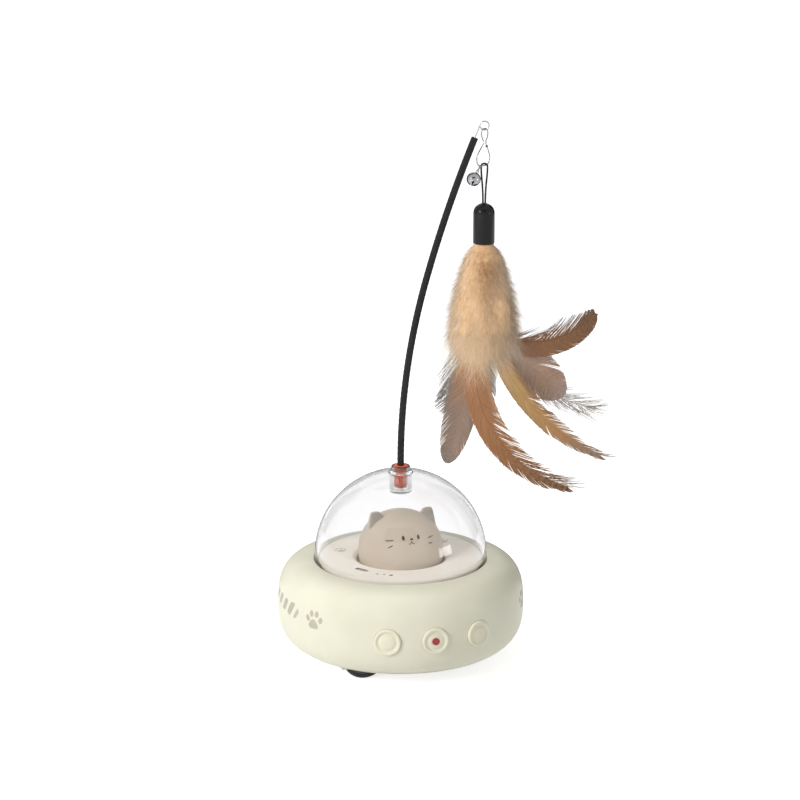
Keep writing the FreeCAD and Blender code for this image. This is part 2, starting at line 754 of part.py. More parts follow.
def gear_outline(teeth):
    """Closed wire of a spur gear in the XY plane, a tooth's middle on +X."""
    pitch = GEAR_MODULE * teeth / 2
    pressure = math.radians(PRESSURE_ANGLE)
    base = pitch * math.cos(pressure)
    tip = pitch + GEAR_MODULE * 0.85
    root = pitch - GEAR_MODULE * 1.2
    half = math.pi / (2 * teeth) - GEAR_BACKLASH / (2 * pitch)
    steps = 3
    flank = [(root, half + involute(pressure))]
    if root >= base:
        flank = []
    low = max(root, base)
    for i in range(steps + 1):
        radius = low + (tip - low) * i / steps
        inward = involute(math.acos(min(1.0, base / radius)))
        flank.append((radius, half + involute(pressure) - inward))
    points = []
    for tooth in range(teeth):
        middle = 2 * math.pi * tooth / teeth
        for radius, offset in flank:
            points.append(V(radius * math.cos(middle - offset), radius * math.sin(middle - offset), 0))
        for radius, offset in reversed(flank):
            points.append(V(radius * math.cos(middle + offset), radius * math.sin(middle + offset), 0))
    return Part.makePolygon(points + points[:1])


def gear(teeth, bore, centre, turn, side, inner, outer):
    """Spur gear on an axis along Y. turn is the bearing of a tooth in the XZ plane, and inner
    and outer are how far from the body's middle plane its faces lie."""
    flat = Part.Face(gear_outline(teeth)).extrude(V(0, 0, outer - inner))
    flat = flat.rotated(ORIGIN, UP, turn)
    flat = flat.rotated(ORIGIN, V(1, 0, 0), 90)
    start = -inner if side < 0 else outer
    flat = flat.translated(V(centre.x, start, centre.z))
    if bore:
        flat = flat.cut(rod(bore, V(centre.x, -BODY_RADIUS, centre.z), V(centre.x, BODY_RADIUS, centre.z)))
    return flat


def pitch_radius(teeth):
    return GEAR_MODULE * teeth / 2


def train_point(start, reach, rise):
    """Point in the XZ plane at a distance and rise from another one."""
    a = math.radians(rise)
    return V(start.x + reach * math.cos(a), 0, start.z + reach * math.sin(a))


AXLE_POINT = V(WHEEL_AXLE_X, 0, AXLE_HEIGHT)
IDLER_POINT = train_point(AXLE_POINT, pitch_radius(AXLE_TEETH) + pitch_radius(SMALL_TEETH), TRAIN_RISE)
MOTOR_POINT = train_point(IDLER_POINT, pitch_radius(LARGE_TEETH) + pitch_radius(PINION_TEETH), MOTOR_RISE)

# Distances from the body's middle plane, from the wheel inwards
ARCH_INNER = (WHEEL_TRACK - TYRE_WIDTH) / 2 - ARCH_WALL
OUTER_WALL = (ARCH_INNER - SLIDE - FRAME_WALL, ARCH_INNER - SLIDE)
AXLE_GEAR = (OUTER_WALL[0] - FRAME_GAP - GEAR_WIDTH, OUTER_WALL[0] - FRAME_GAP)
INNER_WALL = (AXLE_GEAR[0] - FRAME_GAP - FRAME_WALL, AXLE_GEAR[0] - FRAME_GAP)
LARGE_GEAR = (INNER_WALL[0] - FRAME_GAP - GEAR_WIDTH, INNER_WALL[0] - FRAME_GAP)
MOTOR_FACE = LARGE_GEAR[0] - FRAME_GAP


def along_y(radius, point, side, inner, outer):
    """Cylinder along Y through a point of the XZ plane, between two distances from the middle."""
    return rod(radius, V(point.x, side * inner, point.z), V(point.x, side * outer, point.z))


def slab(side, x, y, z):
    """Box whose Y sides are distances from the middle plane on one side."""
    low, high = sorted((side * y[0], side * y[1]))
    return block(x, (low, high), z)


def gear_frame_pocket(side):
    """Shallow pocket in the cover's floor that the gear frame's walls stand in."""
    x = (WHEEL_AXLE_X - FRAME_REACH - SLIDE, MOTOR_POINT.x + MOTOR_RADIUS + FRAME_EDGE + SLIDE)
    y = (MOTOR_FACE - FRAME_WALL - SLIDE, OUTER_WALL[1] + SLIDE)
    return slab(side, x, y, (FRAME_BASE - SLIDE, MOTOR_POINT.z))


def frame_screws(side):
    """Places of a gear frame's two screws, on its foot."""
    x = MOTOR_POINT.x + MOTOR_RADIUS + FRAME_EDGE + FRAME_FOOT / 2 + 0.2
    apart = SCREW_HEAD_RADIUS + SLIDE
    middle = (MOTOR_FACE + OUTER_WALL[1]) / 2
    return [(x, side * (middle - apart)), (x, side * (middle + apart))]


def gear_frame(side):
    """Bracket with two walls for the axle and gears, and a cradle plate for the motor."""
    left = WHEEL_AXLE_X - FRAME_REACH
    right = MOTOR_POINT.x + MOTOR_RADIUS + FRAME_EDGE
    low = SHELL_WALL + FIT
    top = MOTOR_POINT.z + MOTOR_RADIUS + FRAME_WALL
    across = (MOTOR_FACE - FRAME_WALL, OUTER_WALL[1])
    pieces = [
        slab(side, (left, right), OUTER_WALL, (FRAME_BASE, top)),
        slab(side, (left, right), INNER_WALL, (FRAME_BASE, top)),
        slab(side, (left, right), across, (top, top + FRAME_WALL)),
        slab(side, (right - FRAME_WALL, right + FRAME_FOOT), (across[0], OUTER_WALL[1] + FRAME_WALL),
             (low, low + FOOT_THICK)),
        slab(side, (IDLER_POINT.x - FRAME_WALL * 2, right), (across[0], MOTOR_FACE), (low, top)),
        slab(side, (right - FRAME_WALL, right), across, (low, top)),
    ]
    frame = fused(pieces)
    holes = [
        along_y(AXLE_RADIUS + FIT, AXLE_POINT, side, INNER_WALL[0] - 0.1, OUTER_WALL[1] + 1),
        along_y(GEAR_PIN_RADIUS, IDLER_POINT, side, MOTOR_FACE - FRAME_WALL - 1, OUTER_WALL[1] + 1),
        along_y(pitch_radius(SMALL_TEETH) + GEAR_MODULE + FRAME_GAP, IDLER_POINT, side,
                INNER_WALL[0] - 0.1, INNER_WALL[1] + 0.1),
        along_y(pitch_radius(PINION_TEETH) + GEAR_MODULE + FRAME_GAP, MOTOR_POINT, side,
                MOTOR_FACE - FRAME_WALL - 1, MOTOR_FACE + 1),
    ]
    for x, y in frame_screws(side):
        holes.append(disc(SCREW_RADIUS + SLIDE, low - 1, low + 3, x, y))
    return cut(frame, holes)


def gear_pins():
    """Fixed steel pins that the compound gears turn on."""
    return Part.makeCompound([
        along_y(GEAR_PIN_RADIUS, IDLER_POINT, side, MOTOR_FACE - FRAME_WALL, OUTER_WALL[1])
        for side in (-1, 1)])


def axle_gear(side):
    """Gear pressed on the axle."""
    return gear(AXLE_TEETH, AXLE_RADIUS, AXLE_POINT, TRAIN_RISE, side, *AXLE_GEAR)


def compound_gear(side):
    """Small gear that drives the axle, with a hub through the wall to the large gear."""
    meshing = TRAIN_RISE + 180 + 180 / SMALL_TEETH
    bore = GEAR_PIN_RADIUS + FIT
    small = gear(SMALL_TEETH, bore, IDLER_POINT, meshing, side, *AXLE_GEAR)
    large = gear(LARGE_TEETH, bore, IDLER_POINT, MOTOR_RISE, side, *LARGE_GEAR)
    hub = along_y(pitch_radius(SMALL_TEETH) - 0.45, IDLER_POINT, side, LARGE_GEAR[0], AXLE_GEAR[1])
    hub = hub.cut(along_y(bore, IDLER_POINT, side, LARGE_GEAR[0] - 1, AXLE_GEAR[1] + 1))
    return fused([small, large, hub])


def motor_pinion(side):
    """Pinion pressed on the motor's shaft."""
    meshing = MOTOR_RISE + 180 + 180 / PINION_TEETH
    return gear(PINION_TEETH, MOTOR_SHAFT_RADIUS, MOTOR_POINT, meshing, side, *LARGE_GEAR)


def motor_shaft(side):
    """Steel shaft out of the motor's face."""
    return along_y(MOTOR_SHAFT_RADIUS, MOTOR_POINT, side, MOTOR_FACE - FRAME_WALL - 6.0, LARGE_GEAR[1] + 0.3)


def drive_motor(side):
    """Round can motor with a rear cap, its front against the frame's plate."""
    face = MOTOR_FACE - FRAME_WALL
    can = along_y(MOTOR_RADIUS - FIT, MOTOR_POINT, side, face - MOTOR_LENGTH + 2.6, face)
    cap = along_y(MOTOR_RADIUS - 1.4, MOTOR_POINT, side, face - MOTOR_LENGTH + 1.3, face)
    nose = along_y(1.6, MOTOR_POINT, side, face, face + 0.8)
    bore = along_y(MOTOR_SHAFT_RADIUS + FIT, MOTOR_POINT, side, face - 6.2, face + 2)
    return fused([can, cap, nose]).cut(bore)


def axle(side):
    """Steel axle from the wheel's hub to the inner wall."""
    return along_y(AXLE_RADIUS, AXLE_POINT, side, INNER_WALL[0], (WHEEL_TRACK + TYRE_WIDTH) / 2 - 0.6)


def wheel_hub(side):
    """Wheel disc with a hub boss, a rim and lightening holes."""
    inner = (WHEEL_TRACK - TYRE_WIDTH) / 2 + 0.3
    outer = (WHEEL_TRACK + TYRE_WIDTH) / 2 - 0.3
    middle = WHEEL_TRACK / 2
    rim_radius = WHEEL_RADIUS - TYRE_THICK
    rim = along_y(rim_radius, AXLE_POINT, side, inner, outer)
    hollow = along_y(rim_radius - 1.2, AXLE_POINT, side, inner - 1, outer + 1)
    web = along_y(rim_radius - 0.5, AXLE_POINT, side, middle - 0.8, middle + 0.8)
    boss = along_y(AXLE_RADIUS + 1.3, AXLE_POINT, side, inner, outer)
    wheel = fused([rim.cut(hollow), web, boss])
    holes = [along_y(AXLE_RADIUS, AXLE_POINT, side, inner - 1, (WHEEL_TRACK + TYRE_WIDTH) / 2 - 0.6)]
    for turn in range(0, 360, 60):
        spot = train_point(AXLE_POINT, 4.7, turn)
        holes.append(along_y(1.1, spot, side, inner, outer))
    return cut(wheel, holes)


def wheel_tyre(side):
    """Rubber ring with rounded shoulders and shallow cross grooves."""
    inner = (WHEEL_TRACK - TYRE_WIDTH) / 2
    outer = (WHEEL_TRACK + TYRE_WIDTH) / 2
    ring = along_y(WHEEL_RADIUS, AXLE_POINT, side, inner, outer)
    ring = ring.makeFillet(0.9, [e for e in ring.Edges if isinstance(e.Curve, Part.Circle)])
    return ring.cut(along_y(WHEEL_RADIUS - TYRE_THICK, AXLE_POINT, side, inner - 1, outer + 1))


# Caster

def caster_centre():
    return V(CASTER_X, 0, FLOOR + CASTER_BALL)


def caster_cup_radius():
    return CASTER_BALL + CASTER_WALL


def caster_flange_top():
    """Height of the cup's flange, let into the underside."""
    return CASTER_FLANGE_THICK - CASTER_FLANGE_DROP


def caster_ball():
    """Steel ball that carries the third point of the base."""
    return Part.makeSphere(CASTER_BALL, caster_centre())


def caster_cup():
    """Cup pressed up into the bottom cover, its lip drawn in under the ball's middle."""
    centre = caster_centre()
    cup = disc(caster_cup_radius(), centre.z - CASTER_LIP, centre.z + CASTER_BALL + CASTER_CROWN, CASTER_X)
    flange = disc(caster_cup_radius() + CASTER_FLANGE, -CASTER_FLANGE_DROP, caster_flange_top(), CASTER_X)
    return fused([cup, flange]).cut(Part.makeSphere(CASTER_BALL + FIT * 2, centre))


# Cell, holder and main board

def cell_centre():
    return V(CELL_X, 0, SHELL_WALL + HOLDER_WALL + CELL_RADIUS + FIT)


def battery_cell():
    """Round rechargeable cell lying along Y, with its raised end."""
    centre = cell_centre()
    half = CELL_LENGTH / 2
    can = rod(CELL_RADIUS, V(centre.x, -half, centre.z), V(centre.x, half - 1.0, centre.z))
    can = can.makeFillet(0.5, [e for e in can.Edges if isinstance(e.Curve, Part.Circle)])
    nub = rod(2.6, V(centre.x, half - 1.2, centre.z), V(centre.x, half, centre.z))
    return can.fuse(nub)


def holder_screws():
    """Places of the cell holder's screws."""
    x = CELL_X + CELL_RADIUS + HOLDER_WALL + SCREW_HEAD_RADIUS + SLIDE
    return [(x, -8.0), (x, 8.0)]


def cell_holder():
    """Cradle with ribs that clip round the cell, and spring contacts' end walls."""
    centre = cell_centre()
    low = SHELL_WALL + FIT
    half = CELL_LENGTH / 2 + 0.6
    side = CELL_RADIUS + HOLDER_WALL
    wide = (centre.x - side, centre.x + side)
    pieces = [block(wide, (-half - HOLDER_WALL, half + HOLDER_WALL), (low, low + HOLDER_WALL))]
    for y in (-half - HOLDER_WALL, half):
        pieces.append(block(wide, (y, y + HOLDER_WALL), (low, centre.z + 3.0)))
    for y in (-16.0, -1.5, 13.0):
        pieces.append(block(wide, (y, y + 3.0), (low, centre.z + 2.4)))
    pieces.append(block((wide[1] - 1, wide[1] + SCREW_HEAD_RADIUS * 2 + SLIDE), (-11.5, 11.5),
                        (low, low + HOLDER_WALL)))
    holder = fused(pieces)
    holes = [rod(CELL_RADIUS + FIT, V(centre.x, -half, centre.z), V(centre.x, half, centre.z))]
    for x, y in holder_screws():
        holes.append(disc(SCREW_RADIUS + SLIDE, low - 1, low + 3, x, y))
    return cut(holder, holes)


def main_board():
    """Main circuit board on the cover's posts, with its chips and a tongue to the rear."""
    low = MAIN_BOARD_HEIGHT
    high = low + BOARD_THICK
    plate = block(MAIN_BOARD_X, MAIN_BOARD_Y, (low, high))
    corners = block((MAIN_BOARD_X[0] + 14, MAIN_BOARD_X[1]), (MAIN_BOARD_Y[0] - 8, MAIN_BOARD_Y[1] + 2),
                    (low, high))
    tongue = block((-PORT_TONGUE / 2, PORT_TONGUE / 2), (MAIN_BOARD_Y[1], port_mouth() - 1.0), (low, high))
    holes = [disc(SCREW_RADIUS + SLIDE, low - 1, high + 1, x, y) for x, y in BOARD_POSTS]
    board = cut(fused([plate, corners, tongue]), holes)
    return Part.makeCompound([board] + control_chips())


def port_mouth():
    """Distance from the axis at which the charging port's mouth lies, just inside the wall."""
    return BODY_RADIUS - SHELL_WALL - 0.6


def charge_port():
    """Charging port: a rounded metal shell, open to the rear, with its tongue inside."""
    high = port_height() + PORT_HEIGHT / 2
    low = high - PORT_HEIGHT
    mouth = port_mouth()
    case = block((-PORT_WIDTH / 2, PORT_WIDTH / 2), (mouth - PORT_LENGTH, mouth), (low, high))
    along = [e for e in case.Edges if abs(e.BoundBox.YLength - PORT_LENGTH) < 0.01]
    case = case.makeFillet(PORT_HEIGHT * 0.45, along)
    wall = 0.35
    inner = block((-PORT_WIDTH / 2 + wall, PORT_WIDTH / 2 - wall), (mouth - PORT_LENGTH + 1, mouth + 1),
                  (low + wall, high - wall))
    along = [e for e in inner.Edges if abs(e.BoundBox.YLength - PORT_LENGTH) < 0.01]
    inner = inner.makeFillet((PORT_HEIGHT - 2 * wall) * 0.45, along)
    tongue = block((-3.2, 3.2), (mouth - PORT_LENGTH + 0.5, mouth - 1.0),
                   (port_height() - 0.35, port_height() + 0.35))
    return fused([case.cut(inner), tongue])


def control_chips():
    """Controller, motor drivers and charge chip on the main board."""
    low = MAIN_BOARD_HEIGHT + BOARD_THICK
    places = ((-12, -6, 9, 9, 1.4), (8, -12, 6, 5, 1.3), (8, 6, 6, 5, 1.3), (2, 21, 5, 4, 1.1))
    return [block((x, x + w), (y, y + d), (low, low + h)) for x, y, w, d, h in places]


def small_screws():
    """Screws of the head, main board, gear frames, cell holder and switch bracket."""
    screws = [screw(V(0, 0, WELL_FLOOR - DECK_THICK), DECK_THICK + SCREW_LENGTH)]
    for x, y in BOARD_POSTS:
        top = MAIN_BOARD_HEIGHT + BOARD_THICK
        screws.append(hanging_screw(V(x, y, top), BOARD_THICK + SCREW_LENGTH - 1.0))
    low = SHELL_WALL + FIT
    for x, y in frame_screws(-1) + frame_screws(1) + bracket_screws():
        screws.append(hanging_screw(V(x, y, low + FOOT_THICK), 2.7))
    for x, y in holder_screws():
        screws.append(hanging_screw(V(x, y, low + HOLDER_WALL), 2.5))
    return Part.makeCompound(screws)


def hanging_screw(seat, length):
    """Screw driven from above, its head on the seat."""
    head = rod(SCREW_HEAD_RADIUS, seat, seat + UP * SCREW_HEAD)
    return head.fuse(rod(SCREW_RADIUS, seat - UP * length, seat))


# Wand

def collar():
    """See-through ring on the rim of the socket, round the plug."""
    outer = PLUG_RADIUS + FIT + COLLAR_WALL
    top = RIM_TOP + COLLAR_HEIGHT
    ring = disc(outer, RIM_TOP, top)
    ring = ring.makeFillet(0.5, [e for e in ring.Edges if e.BoundBox.ZMin > top - 0.01])
    ring = ring.cut(disc(PLUG_RADIUS + FIT, RIM_TOP - 1, top + 1))
    return ring.cut(disc(PLUG_HEAD_RADIUS + FIT, top - PLUG_HEAD - FIT, top + 1))


def wand_foot():
    """Height of the wand's lower end inside the plug."""
    return RIM_TOP + COLLAR_HEIGHT - WAND_INSET


def wand_plug():
    """Soft orange plug, round-ended, with a small head that rests in the collar."""
    top = RIM_TOP + COLLAR_HEIGHT
    low = SOCKET_BOTTOM + 0.5
    pin = disc(PLUG_RADIUS, low, top)
    pin = pin.makeFillet(PLUG_RADIUS * 0.85, [e for e in pin.Edges if e.BoundBox.ZMax < low + 0.01])
    plug = pin.fuse(disc(PLUG_HEAD_RADIUS, top - PLUG_HEAD, top)).removeSplitter()
    return plug.cut(disc(WAND_RADIUS, wand_foot(), top + 1))


def bend_end(start, heading, radius, angle):
    """End and new heading of a bend in the XZ plane; heading is degrees from upright to +X."""
    a = math.radians(heading)
    b = math.radians(heading + angle)
    x = start.x + radius * (math.cos(a) - math.cos(b))
    z = start.z + radius * (math.sin(b) - math.sin(a))
    return V(x, 0, z), heading + angle


def bend_edge(start, heading, radius, angle):
    """Arc edge of a bend."""
    middle = bend_end(start, heading, radius, angle / 2)[0]
    end = bend_end(start, heading, radius, angle)[0]
    return Part.Arc(start, middle, end).toShape()


BEND_START = V(0, 0, WAND_STRAIGHT - 85.1 + DOME_TOP)
BEND_MIDDLE, MIDDLE_HEADING = bend_end(BEND_START, 0.0, FIRST_BEND_RADIUS, FIRST_BEND)
TIP, TIP_HEADING = bend_end(BEND_MIDDLE, MIDDLE_HEADING, SECOND_BEND_RADIUS, SECOND_BEND)
TIP_WAY = V(math.sin(math.radians(TIP_HEADING)), 0, math.cos(math.radians(TIP_HEADING)))
TIP_RIGHT = V(TIP_WAY.z, 0, -TIP_WAY.x)
EYE_CENTRE = TIP + TIP_WAY * CORE_LENGTH + TIP_RIGHT * EYE_RADIUS
HANG_X = EYE_CENTRE.x
EYE_LOW = EYE_CENTRE.z - EYE_RADIUS


def wand_rod():
    """Stiff sleeved rod: straight out of the plug, then bent in two arcs, cut square."""
    path = Part.Wire([
        Part.LineSegment(V(0, 0, wand_foot()), BEND_START).toShape(),
        bend_edge(BEND_START, 0.0, FIRST_BEND_RADIUS, FIRST_BEND),
        bend_edge(BEND_MIDDLE, MIDDLE_HEADING, SECOND_BEND_RADIUS, SECOND_BEND),
    ])
    sleeve = swept(path, WAND_RADIUS)
    return leaned(sleeve.cut(rod(CORE_RADIUS, TIP - TIP_WAY * CORE_INSET, TIP + TIP_WAY)))


def wand_eye():
    """End of the wand's steel core, curled into an eye beyond the tip."""
    start = TIP - TIP_WAY * CORE_INSET
    touch = TIP + TIP_WAY * CORE_LENGTH
    ends = []
    for share in (0.5, 1.0):
        a = math.radians(EYE_TURN * share)
        ends.append(EYE_CENTRE - TIP_RIGHT * EYE_RADIUS * math.cos(a) + TIP_WAY * EYE_RADIUS * math.sin(a))
    path = Part.Wire([
        Part.LineSegment(start, touch).toShape(),
        Part.Arc(touch, ends[0], ends[1]).toShape(),
    ])
    return leaned(swept(path, CORE_RADIUS))


# Clasp and bell

def clasp_point(across, height):
    """Point of the clasp's plane: across from the line it hangs on, at a height."""
    a = math.radians(CLASP_TURN)
    return V(HANG_X + across * math.cos(a), across * math.sin(a), height)


CLASP_TOP = EYE_LOW + CORE_RADIUS + CLASP_WIRE + CLASP_GAP
CLASP_BOTTOM = CLASP_TOP - CLASP_DROP
PINCH = CLASP_TOP - 6.4


def clasp_route():
    """Corners of the clasp's wire: small upper loop, pinch, wide lower loop and back."""
    pinch = CLASP_WIRE + CLASP_GAP
    places = [
        (-pinch, PINCH + 0.35),
        (-2.1, PINCH + 3.2),
        (-1.6, CLASP_TOP),
        (1.6, CLASP_TOP),
        (2.1, PINCH + 3.2),
        (pinch, PINCH),
        (2.2, PINCH - 3.6),
        (3.4, PINCH - 7.4),
        (2.1, CLASP_BOTTOM),
        (-3.8, CLASP_BOTTOM),
        (-4.7, PINCH - 7.0),
        (-3.4, PINCH - 4.0),
        (-pinch, PINCH - 0.35),
    ]
    return [clasp_point(across, height) for across, height in places]


def snap_clasp():
    """Spring wire bent into a small and a wide loop that meet at a pinch."""
    path = routed(clasp_route())[0]
    return leaned(swept(path, CLASP_WIRE))


def clasp_sleeve():
    """Small dark tube closed over the right strand of the clasp."""
    corners = clasp_route()
    upper = corners[5]
    lower = corners[6]
    way = (lower - upper).normalize()
    middle = (upper + lower) * 0.5
    half = (lower - upper).Length * SLEEVE_SHARE / 2
    return leaned(tube(SLEEVE_RADIUS, CLASP_WIRE, middle - way * half, middle + way * half))


def bell_pivot():
    """Point on the clasp's lower wire that the bell's link hangs on."""
    return clasp_point(BELL_SEAT, CLASP_BOTTOM)


def bell_frame(shape):
    """Move a shape hung upright from the origin to the bell's pivot, leaning towards the wand."""
    return leaned(shape.rotated(ORIGIN, V(0, 1, 0), BELL_LEAN).translated(bell_pivot()))


LINK_DROP = LINK_RADIUS - LINK_WIRE - CLASP_WIRE - CLASP_GAP / 2
EYE_DROP = LINK_DROP + LINK_RADIUS + BELL_EYE - LINK_WIRE - BELL_EYE_WIRE - CLASP_GAP / 2
BELL_DROP = EYE_DROP + BELL_EYE + BELL_RADIUS


def bell_link():
    """Round link on the clasp's wire, which carries the bell."""
    return bell_frame(Part.makeTorus(LINK_RADIUS, LINK_WIRE, V(0, 0, -LINK_DROP), V(1, 0, 0)))


def bell():
    """Round bell: thin shell with a crossed slot and an eye on its top."""
    centre = V(0, 0, -BELL_DROP)
    ball = Part.makeSphere(BELL_RADIUS, centre)
    eye = Part.makeTorus(BELL_EYE, BELL_EYE_WIRE, V(0, 0, -EYE_DROP), V(0, 1, 0))
    hollow = Part.makeSphere(BELL_RADIUS - BELL_WALL, centre)
    low = centre.z - BELL_RADIUS
    slot = block((-BELL_SLOT / 2, BELL_SLOT / 2), (-BELL_RADIUS, BELL_RADIUS), (low - 1, centre.z - 0.7))
    ends = [rod(BELL_SLOT * 0.8, centre + V(0, side * BELL_RADIUS * 1.2, -0.7),
                centre + V(0, side * BELL_RADIUS * 0.5, -0.7)) for side in (-1, 1)]
    shell = ball.cut(hollow).cut(slot)
    shell = cut(shell, ends)
    return bell_frame(shell.fuse(eye.cut(ball)))


def bell_pellet():
    """Loose ball inside the bell."""
    low = -BELL_DROP - BELL_RADIUS + BELL_WALL + PELLET_RADIUS + FIT
    return bell_frame(Part.makeSphere(PELLET_RADIUS, V(0, 0, low)))


# Elastic loop, cap and feathers

CAP_TOP = CLASP_BOTTOM - CAP_DROP
CAP_BOTTOM = CAP_TOP - CAP_HEIGHT
BINDING_TOP = CAP_BOTTOM + 0.7 + BINDING_LENGTH


def hang_point(across, height):
    """Point below the clasp, in the wand's plane."""
    return V(HANG_X + across, 0, height)


def elastic_route():
    """Corners of the elastic loop: up out of the cap, over the clasp's wire and back down."""
    over = CLASP_BOTTOM + CLASP_WIRE + ELASTIC_DIAMETER / 2 + ELASTIC_GAP
    side = [
        (0.52, BINDING_TOP),
        (0.53, BINDING_TOP + 4.2),
        (0.58, CAP_TOP + 4.0),
        (0.84, CAP_TOP + 8.6),
        (1.26, CAP_TOP + 12.6),
        (1.45, over - 2.4),
        (1.38, over),
    ]
    left = [hang_point(-across, height) for across, height in side]
    right = [hang_point(across, height) for across, height in reversed(side)]
    return left + right


def elastic_loop():
    """Limp round elastic, both ends in the cap."""
    path, radii = routed(elastic_route())
    cord = swept(path, ELASTIC_DIAMETER / 2)
    full = math.pi * (ELASTIC_DIAMETER / 2) ** 2 * path.Length
    print("elastic loop radii", radii, "length", round(path.Length, 2))
    print("elastic loop volume over section times length", round(cord.Volume / full, 4))
    return leaned(cord)


def about_hang(shape):
    """Move a shape built round the Z axis to the line that the refill hangs on."""
    return leaned(shape.translated(V(HANG_X, 0, 0)))


def feather_cap():
    """Glossy bullet-shaped cap, hollow below, with a hole for the elastic in its top."""
    shoulder = CAP_TOP - CAP_SHOULDER
    lead = 0.62
    nose = Part.BezierCurve()
    nose.setPoles([V(CAP_RADIUS, 0, shoulder), V(CAP_RADIUS, 0, shoulder + CAP_SHOULDER * lead),
                   V(CAP_RADIUS * 0.5, 0, CAP_TOP), V(0, 0, CAP_TOP)])
    edges = [
        Part.LineSegment(V(0, 0, CAP_BOTTOM), V(CAP_RADIUS, 0, CAP_BOTTOM)).toShape(),
        Part.LineSegment(V(CAP_RADIUS, 0, CAP_BOTTOM), V(CAP_RADIUS, 0, shoulder)).toShape(),
        nose.toShape(),
        Part.LineSegment(V(0, 0, CAP_TOP), V(0, 0, CAP_BOTTOM)).toShape(),
    ]
    bullet = Part.Face(Part.Wire(edges)).revolve(ORIGIN, UP, 360)
    bore = disc(CAP_RADIUS - CAP_WALL, CAP_BOTTOM - 1, BINDING_TOP)
    hole = disc(CAP_HOLE, BINDING_TOP - 1, CAP_TOP + 1)
    return about_hang(bullet.cut(bore).cut(hole))


def feather_binding():
    """Set resin inside the cap that holds the quills and the elastic's ends."""
    return about_hang(disc(CAP_RADIUS - CAP_WALL, BINDING_TOP - BINDING_LENGTH, BINDING_TOP))


def plume_solid(grow):
    """Body of the fluff round the Z axis, grown by a clearance."""
    top = BINDING_TOP - BINDING_LENGTH
    low = CAP_BOTTOM - PLUME_LENGTH
    neck = CAP_RADIUS - CAP_WALL - 0.3
    side = [
        V(CAP_RADIUS + 0.6 + grow, 0, CAP_BOTTOM - 0.3 + grow),
        V(PLUME_RADIUS * 0.6 + grow, 0, CAP_BOTTOM - PLUME_LENGTH * 0.14),
        V(PLUME_RADIUS * 0.85 + grow, 0, CAP_BOTTOM - PLUME_LENGTH * 0.42),
        V(PLUME_RADIUS + grow, 0, CAP_BOTTOM - PLUME_LENGTH * 0.72),
        V(PLUME_RADIUS * 0.66 + grow, 0, low - grow),
    ]
    curve = Part.BSplineCurve()
    curve.interpolate(Points=side)
    edges = [
        Part.LineSegment(V(0, 0, top), V(neck, 0, top)).toShape(),
        Part.LineSegment(V(neck, 0, top), V(neck, 0, side[0].z)).toShape(),
        Part.LineSegment(V(neck, 0, side[0].z), side[0]).toShape(),
        curve.toShape(),
        Part.LineSegment(side[-1], V(0, 0, low - grow)).toShape(),
        Part.LineSegment(V(0, 0, low - grow), V(0, 0, top)).toShape(),
    ]
    return Part.Face(Part.Wire(edges)).revolve(ORIGIN, UP, 360)


def feather(root, bow, tip, half_width, turn, depth):
    """Feather blade as a thin leaf: root, bow and tip are (across, drop below the cap) points of
    its middle line, turn swings its plane about the cap's axis and depth sets it back."""
    ends = [V(across, 0, CAP_BOTTOM - drop) for across, drop in (root, bow, tip)]
    middle = Part.Arc(*ends)
    steps = 8
    first = middle.FirstParameter
    last = middle.LastParameter
    left = []
    right = []
    for i in range(steps + 1):
        share = i / steps
        where = first + (last - first) * share
        here = middle.value(where)
        way = V(*middle.tangent(where)[0])
        out = V(-way.z, 0, way.x)
        swell = half_width * (1 - (2 * share**0.8 - 1) ** 2) ** 0.5
        left.append(here + out * swell)
        right.append(here - out * swell)
    one = Part.BSplineCurve()
    one.interpolate(Points=left)
    other = Part.BSplineCurve()
    other.interpolate(Points=right)
    face = Part.Face(Part.Wire([one.toShape(), other.toShape()]))
    blade = face.extrude(V(0, BLADE_THICK, 0)).translated(V(0, depth - BLADE_THICK / 2, 0))
    blade = blade.rotated(ORIGIN, UP, turn)
    clear = plume_solid(BLADE_CLEAR)
    solids = sorted(blade.cut(clear).Solids, key=lambda s: s.Volume)
    return about_hang(solids[-1])


FEATHERS = {
    "feather_upper_right": ((7.0, 43.0), (30.5, 45.0), (52.5, 34.5), 6.2, 8.0, 0.0),
    "feather_round_right": ((6.5, 47.7), (26.5, 60.5), (43.5, 69.6), 7.0, 25.0, 0.0),
    "feather_long_right": ((6.0, 47.7), (24.0, 78.6), (54.5, 98.8), 3.6, -8.0, 0.0),
    "feather_frayed_right": ((8.0, 48.0), (28.8, 76.2), (57.5, 87.3), 5.0, 12.0, 0.0),
    "feather_amber": ((1.5, 48.0), (10.2, 93.0), (42.0, 110.4), 5.2, -14.0, -4.2),
    "feather_left_inner": ((-4.6, 46.0), (-9.8, 71.5), (-18.8, 101.7), 6.3, 10.0, -0.8),
    "feather_left_outer": ((-8.0, 42.0), (-15.0, 62.0), (-22.2, 83.4), 5.0, -15.0, 0.0),
    "feather_pale_back": ((0.4, 46.0), (0.2, 72.0), (-0.6, 93.5), 4.2, 0.0, 3.8),
}


def plume():
    """Soft fluff that hides the quills, as one plain body."""
    return about_hang(plume_solid(0.0))


